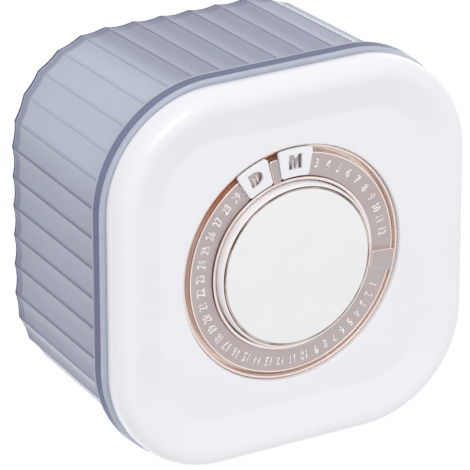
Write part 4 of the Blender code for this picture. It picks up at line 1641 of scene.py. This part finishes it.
@dataclass
class SealPlug:
    """The gasket round the plug, and the return spring.

    Attributes:
        gasket_finish: Finish of the gasket.
        spring_finish: Finish of the spring.
        tub: The tub whose mouth the gasket follows.
        gasket_depth: How far the gasket reaches inwards from its lips.
        groove_depth: Thickness of the gasket between its lips.
        wire: Radius of the spring's wire.
        turns: Turns of the spring.
        per_turn: Points on each turn.
    """

    gasket_finish: bpy.types.Material
    spring_finish: bpy.types.Material
    tub: Tub
    gasket_depth: float = 1.6 * MM
    groove_depth: float = 0.8 * MM
    wire: float = 0.6 * MM
    turns: int = 6
    per_turn: int = 36

    def build_gasket(self) -> None:
        """Build the gasket with its three soft lips."""
        low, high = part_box("sealing_gasket")
        tip = high.x
        bore, height = tip - self.gasket_depth, high.z - low.z
        rim = bore + self.groove_depth
        corners = [
            (bore, low.z, 0.15 * MM),
            (rim, low.z, 0.2 * MM),
            (tip, low.z + height * 0.22, 0.3 * MM),
            (rim, low.z + height * 0.42, 0.25 * MM),
            (tip, low.z + height * 0.66, 0.3 * MM),
            (rim, low.z + height * 0.88, 0.2 * MM),
            (bore, high.z, 0.15 * MM),
        ]
        rings = [
            (rounded_square(half, self.tub.straight, 20, 30), z)
            for half, z in softened(corners, closed=True, steps=3)
        ]
        mesh = loft("gasket_lips", rings, closed=True)
        store(mesh, "painted_shade", lambda place: 0.0)
        finishes = [self.gasket_finish]
        Piece("gasket_lips", mesh, Body.LID, "clear_silicone", finishes, ["sealing_gasket"]).build()

    def build_spring(self) -> None:
        """Build the coil spring, which stretches between the lid and the button."""
        low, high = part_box("return_spring")
        coil = high.x - self.wire
        bottom, top = low.z + self.wire, high.z - self.wire
        curve = bpy.data.curves.new("coil_spring", "CURVE")
        curve.dimensions = "3D"
        curve.bevel_depth = self.wire
        curve.bevel_resolution = 4
        curve.use_fill_caps = True
        spline = curve.splines.new("POLY")
        count = self.turns * self.per_turn + 1
        spline.points.add(count - 1)
        for index, point in enumerate(spline.points):
            angle = TAU * index / self.per_turn
            z = bottom + (top - bottom) * index / (count - 1)
            point.co = (coil * math.cos(angle), coil * math.sin(angle), z, 1.0)
        mesh = curve_mesh("coil_spring", curve)
        finishes, nodes = [self.spring_finish], ["return_spring"]
        Piece("coil_spring", mesh, Body.LID, "steel", finishes, nodes, far=Body.BUTTON).build()


def dress_nodes(nodes: dict[str, bpy.types.Object], finishes: dict[str, bpy.types.Material]) -> None:
    """Give each carried-over CAD node its finish.

    Args:
        nodes: The frame's nodes.
        finishes: A finish for each start of a node's name.
    """
    for name, node in nodes.items():
        for start, finish in finishes.items():
            if name.startswith(start):
                node.data.materials.clear()
                node.data.materials.append(finish)
                node.data.shade_smooth()
                node.data.set_sharp_from_angle(angle=math.radians(32))
                LOG.info("%s is dressed in %s", name, finish.name)


@dataclass
class Studio:
    """The floor, the lamps, the sky and the camera.

    Attributes:
        location: Place of the camera.
        right: Direction of the picture's right.
        up: Direction of the picture's top.
        lens: Focal length in millimetres on a 36 mm sensor.
    """

    location: tuple[float, float, float] = (-0.68027, 0.58303, 1.20868)
    right: tuple[float, float, float] = (0.863686, -0.00115, 0.504028)
    up: tuple[float, float, float] = (0.201794, 0.917144, -0.343695)
    lens: float = 336.875

    def build_camera(self) -> None:
        """Place the camera at the photograph's viewing angle."""
        data = bpy.data.cameras.new("camera")
        data.lens = self.lens
        data.sensor_width = 36.0
        data.clip_end = 10.0
        camera = bpy.data.objects.new("camera", data)
        right, up = Vector(self.right).normalized(), Vector(self.up)
        back = right.cross(up).normalized()
        up = back.cross(right)
        turn = Matrix((right, up, back)).transposed().to_4x4()
        camera.matrix_world = Matrix.Translation(self.location) @ turn
        bpy.context.scene.collection.objects.link(camera)
        bpy.context.scene.camera = camera

    def build_floor(self) -> None:
        """Build the pale floor, which shows white but keeps the object's shadow."""
        reach, below = 3.0, -0.1 * MM
        corners = [(x * reach, y * reach, below) for x, y in ((-1, -1), (1, -1), (1, 1), (-1, 1))]
        mesh = bpy.data.meshes.new("floor")
        mesh.from_pydata(corners, [], [(0, 1, 2, 3)])
        floor = bpy.data.objects.new("floor", mesh)
        bpy.context.scene.collection.objects.link(floor)
        pale = (0.8, 0.8, 0.8)
        made, tree = new_material("pale_floor", pale)
        diffuse = tree.add("ShaderNodeBsdfDiffuse", sockets={"Color": opaque(pale)})
        glow = tree.add("ShaderNodeEmission", sockets={"Color": opaque(WHITE), "Strength": 0.75})
        both = tree.add("ShaderNodeAddShader", sockets={0: diffuse, 1: glow})
        surface = tree.add("ShaderNodeMixShader", sockets={0: seen(tree), 1: diffuse, 2: both})
        tree.close("ShaderNodeOutputMaterial", surface)
        mesh.materials.append(made)

    def build_sky(self) -> None:
        """Light the scene evenly and show white behind it."""
        world = bpy.data.worlds.new("studio")
        world.use_nodes = True
        bpy.context.scene.world = world
        tree = Shading(world.node_tree)
        soft, white = (
            tree.add("ShaderNodeBackground", sockets={"Color": opaque(colour), "Strength": strength})
            for colour, strength in (((0.975, 0.97, 1.0), 0.80), (WHITE, 1.0))
        )
        surface = tree.add("ShaderNodeMixShader", sockets={0: seen(tree), 1: soft, 2: white})
        tree.close("ShaderNodeOutputWorld", surface)

    def build_lamp(self, name: str, place: tuple[float, float, float], size: float, power: float) -> None:
        """Add a soft lamp that points at the canister.

        Args:
            name: Its name.
            place: Where it hangs.
            size: Width of its square.
            power: Its power in watts.
        """
        data = bpy.data.lights.new(name, "AREA")
        data.shape = "SQUARE"
        data.size = size
        data.energy = power
        lamp = bpy.data.objects.new(name, data)
        lamp.location = place
        aim = Vector((0.0, 0.0, 0.06)) - Vector(place)
        lamp.rotation_euler = aim.to_track_quat("-Z", "Y").to_euler()
        bpy.context.scene.collection.objects.link(lamp)

    def build(self) -> None:
        """Build the whole studio."""
        self.build_camera()
        self.build_floor()
        self.build_sky()
        self.build_lamp("key_lamp", (-0.50, 1.60, 1.80), 1.4, 18.0)
        bpy.context.scene.view_settings.view_transform = "Standard"


def seen(tree: Shading) -> Socket:
    """Return 1 for a ray from the camera, a mirror or a see-through surface, else 0.

    Args:
        tree: The node tree being written.

    Returns:
        The yes or no answer as a number.
    """
    camera, glossy, through = (
        tree.add("ShaderNodeLightPath", output=f"Is {kind} Ray")
        for kind in ("Camera", "Glossy", "Transmission")
    )
    return camera | glossy | through


def main() -> None:
    """Dress the canister and light it."""
    logging.basicConfig(level=logging.INFO, format="%(name)s: %(message)s")
    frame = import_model()
    Studio().build()

    tub = Tub(SMOKY_CLEAR.make())
    tub.build()
    white, inner, steel = GLOSS_WHITE.make(), INNER_PLASTIC.make(), ZINC_STEEL.make()
    LidCover(white).build()
    plating = [
        finish.make() for finish in (ROSE_SATIN, ROSE_POLISHED, SHADED_COPPER_GROOVE, ROSE_WALL, ROSE_SHADE_LINE)
    ]
    DateDial(plating, DIGIT_GLINTS.make(), white).build()
    PushButton(PEARL_WHITE.make(), TRIM_ROSE_REFLECTIONS.make(), SATIN_CREAM.make()).build()
    plug = SealPlug(MILKY_SILICONE.make(), steel, tub)
    plug.build_gasket()
    plug.build_spring()
    acetal = DARK_ACETAL.make()
    dress_nodes(
        frame["nodes"],
        {
            "lid_base": inner,
            "wedge_plate": inner,
            "latch_sleeve": inner,
            "latch_rotor": acetal,
            "plunger_stem": acetal,
            "base_screw": steel,
            "tray_screw": steel,
            "plate_screw": steel,
            "sleeve_screw": steel,
        },
    )


if __name__ == "__main__":
    main()
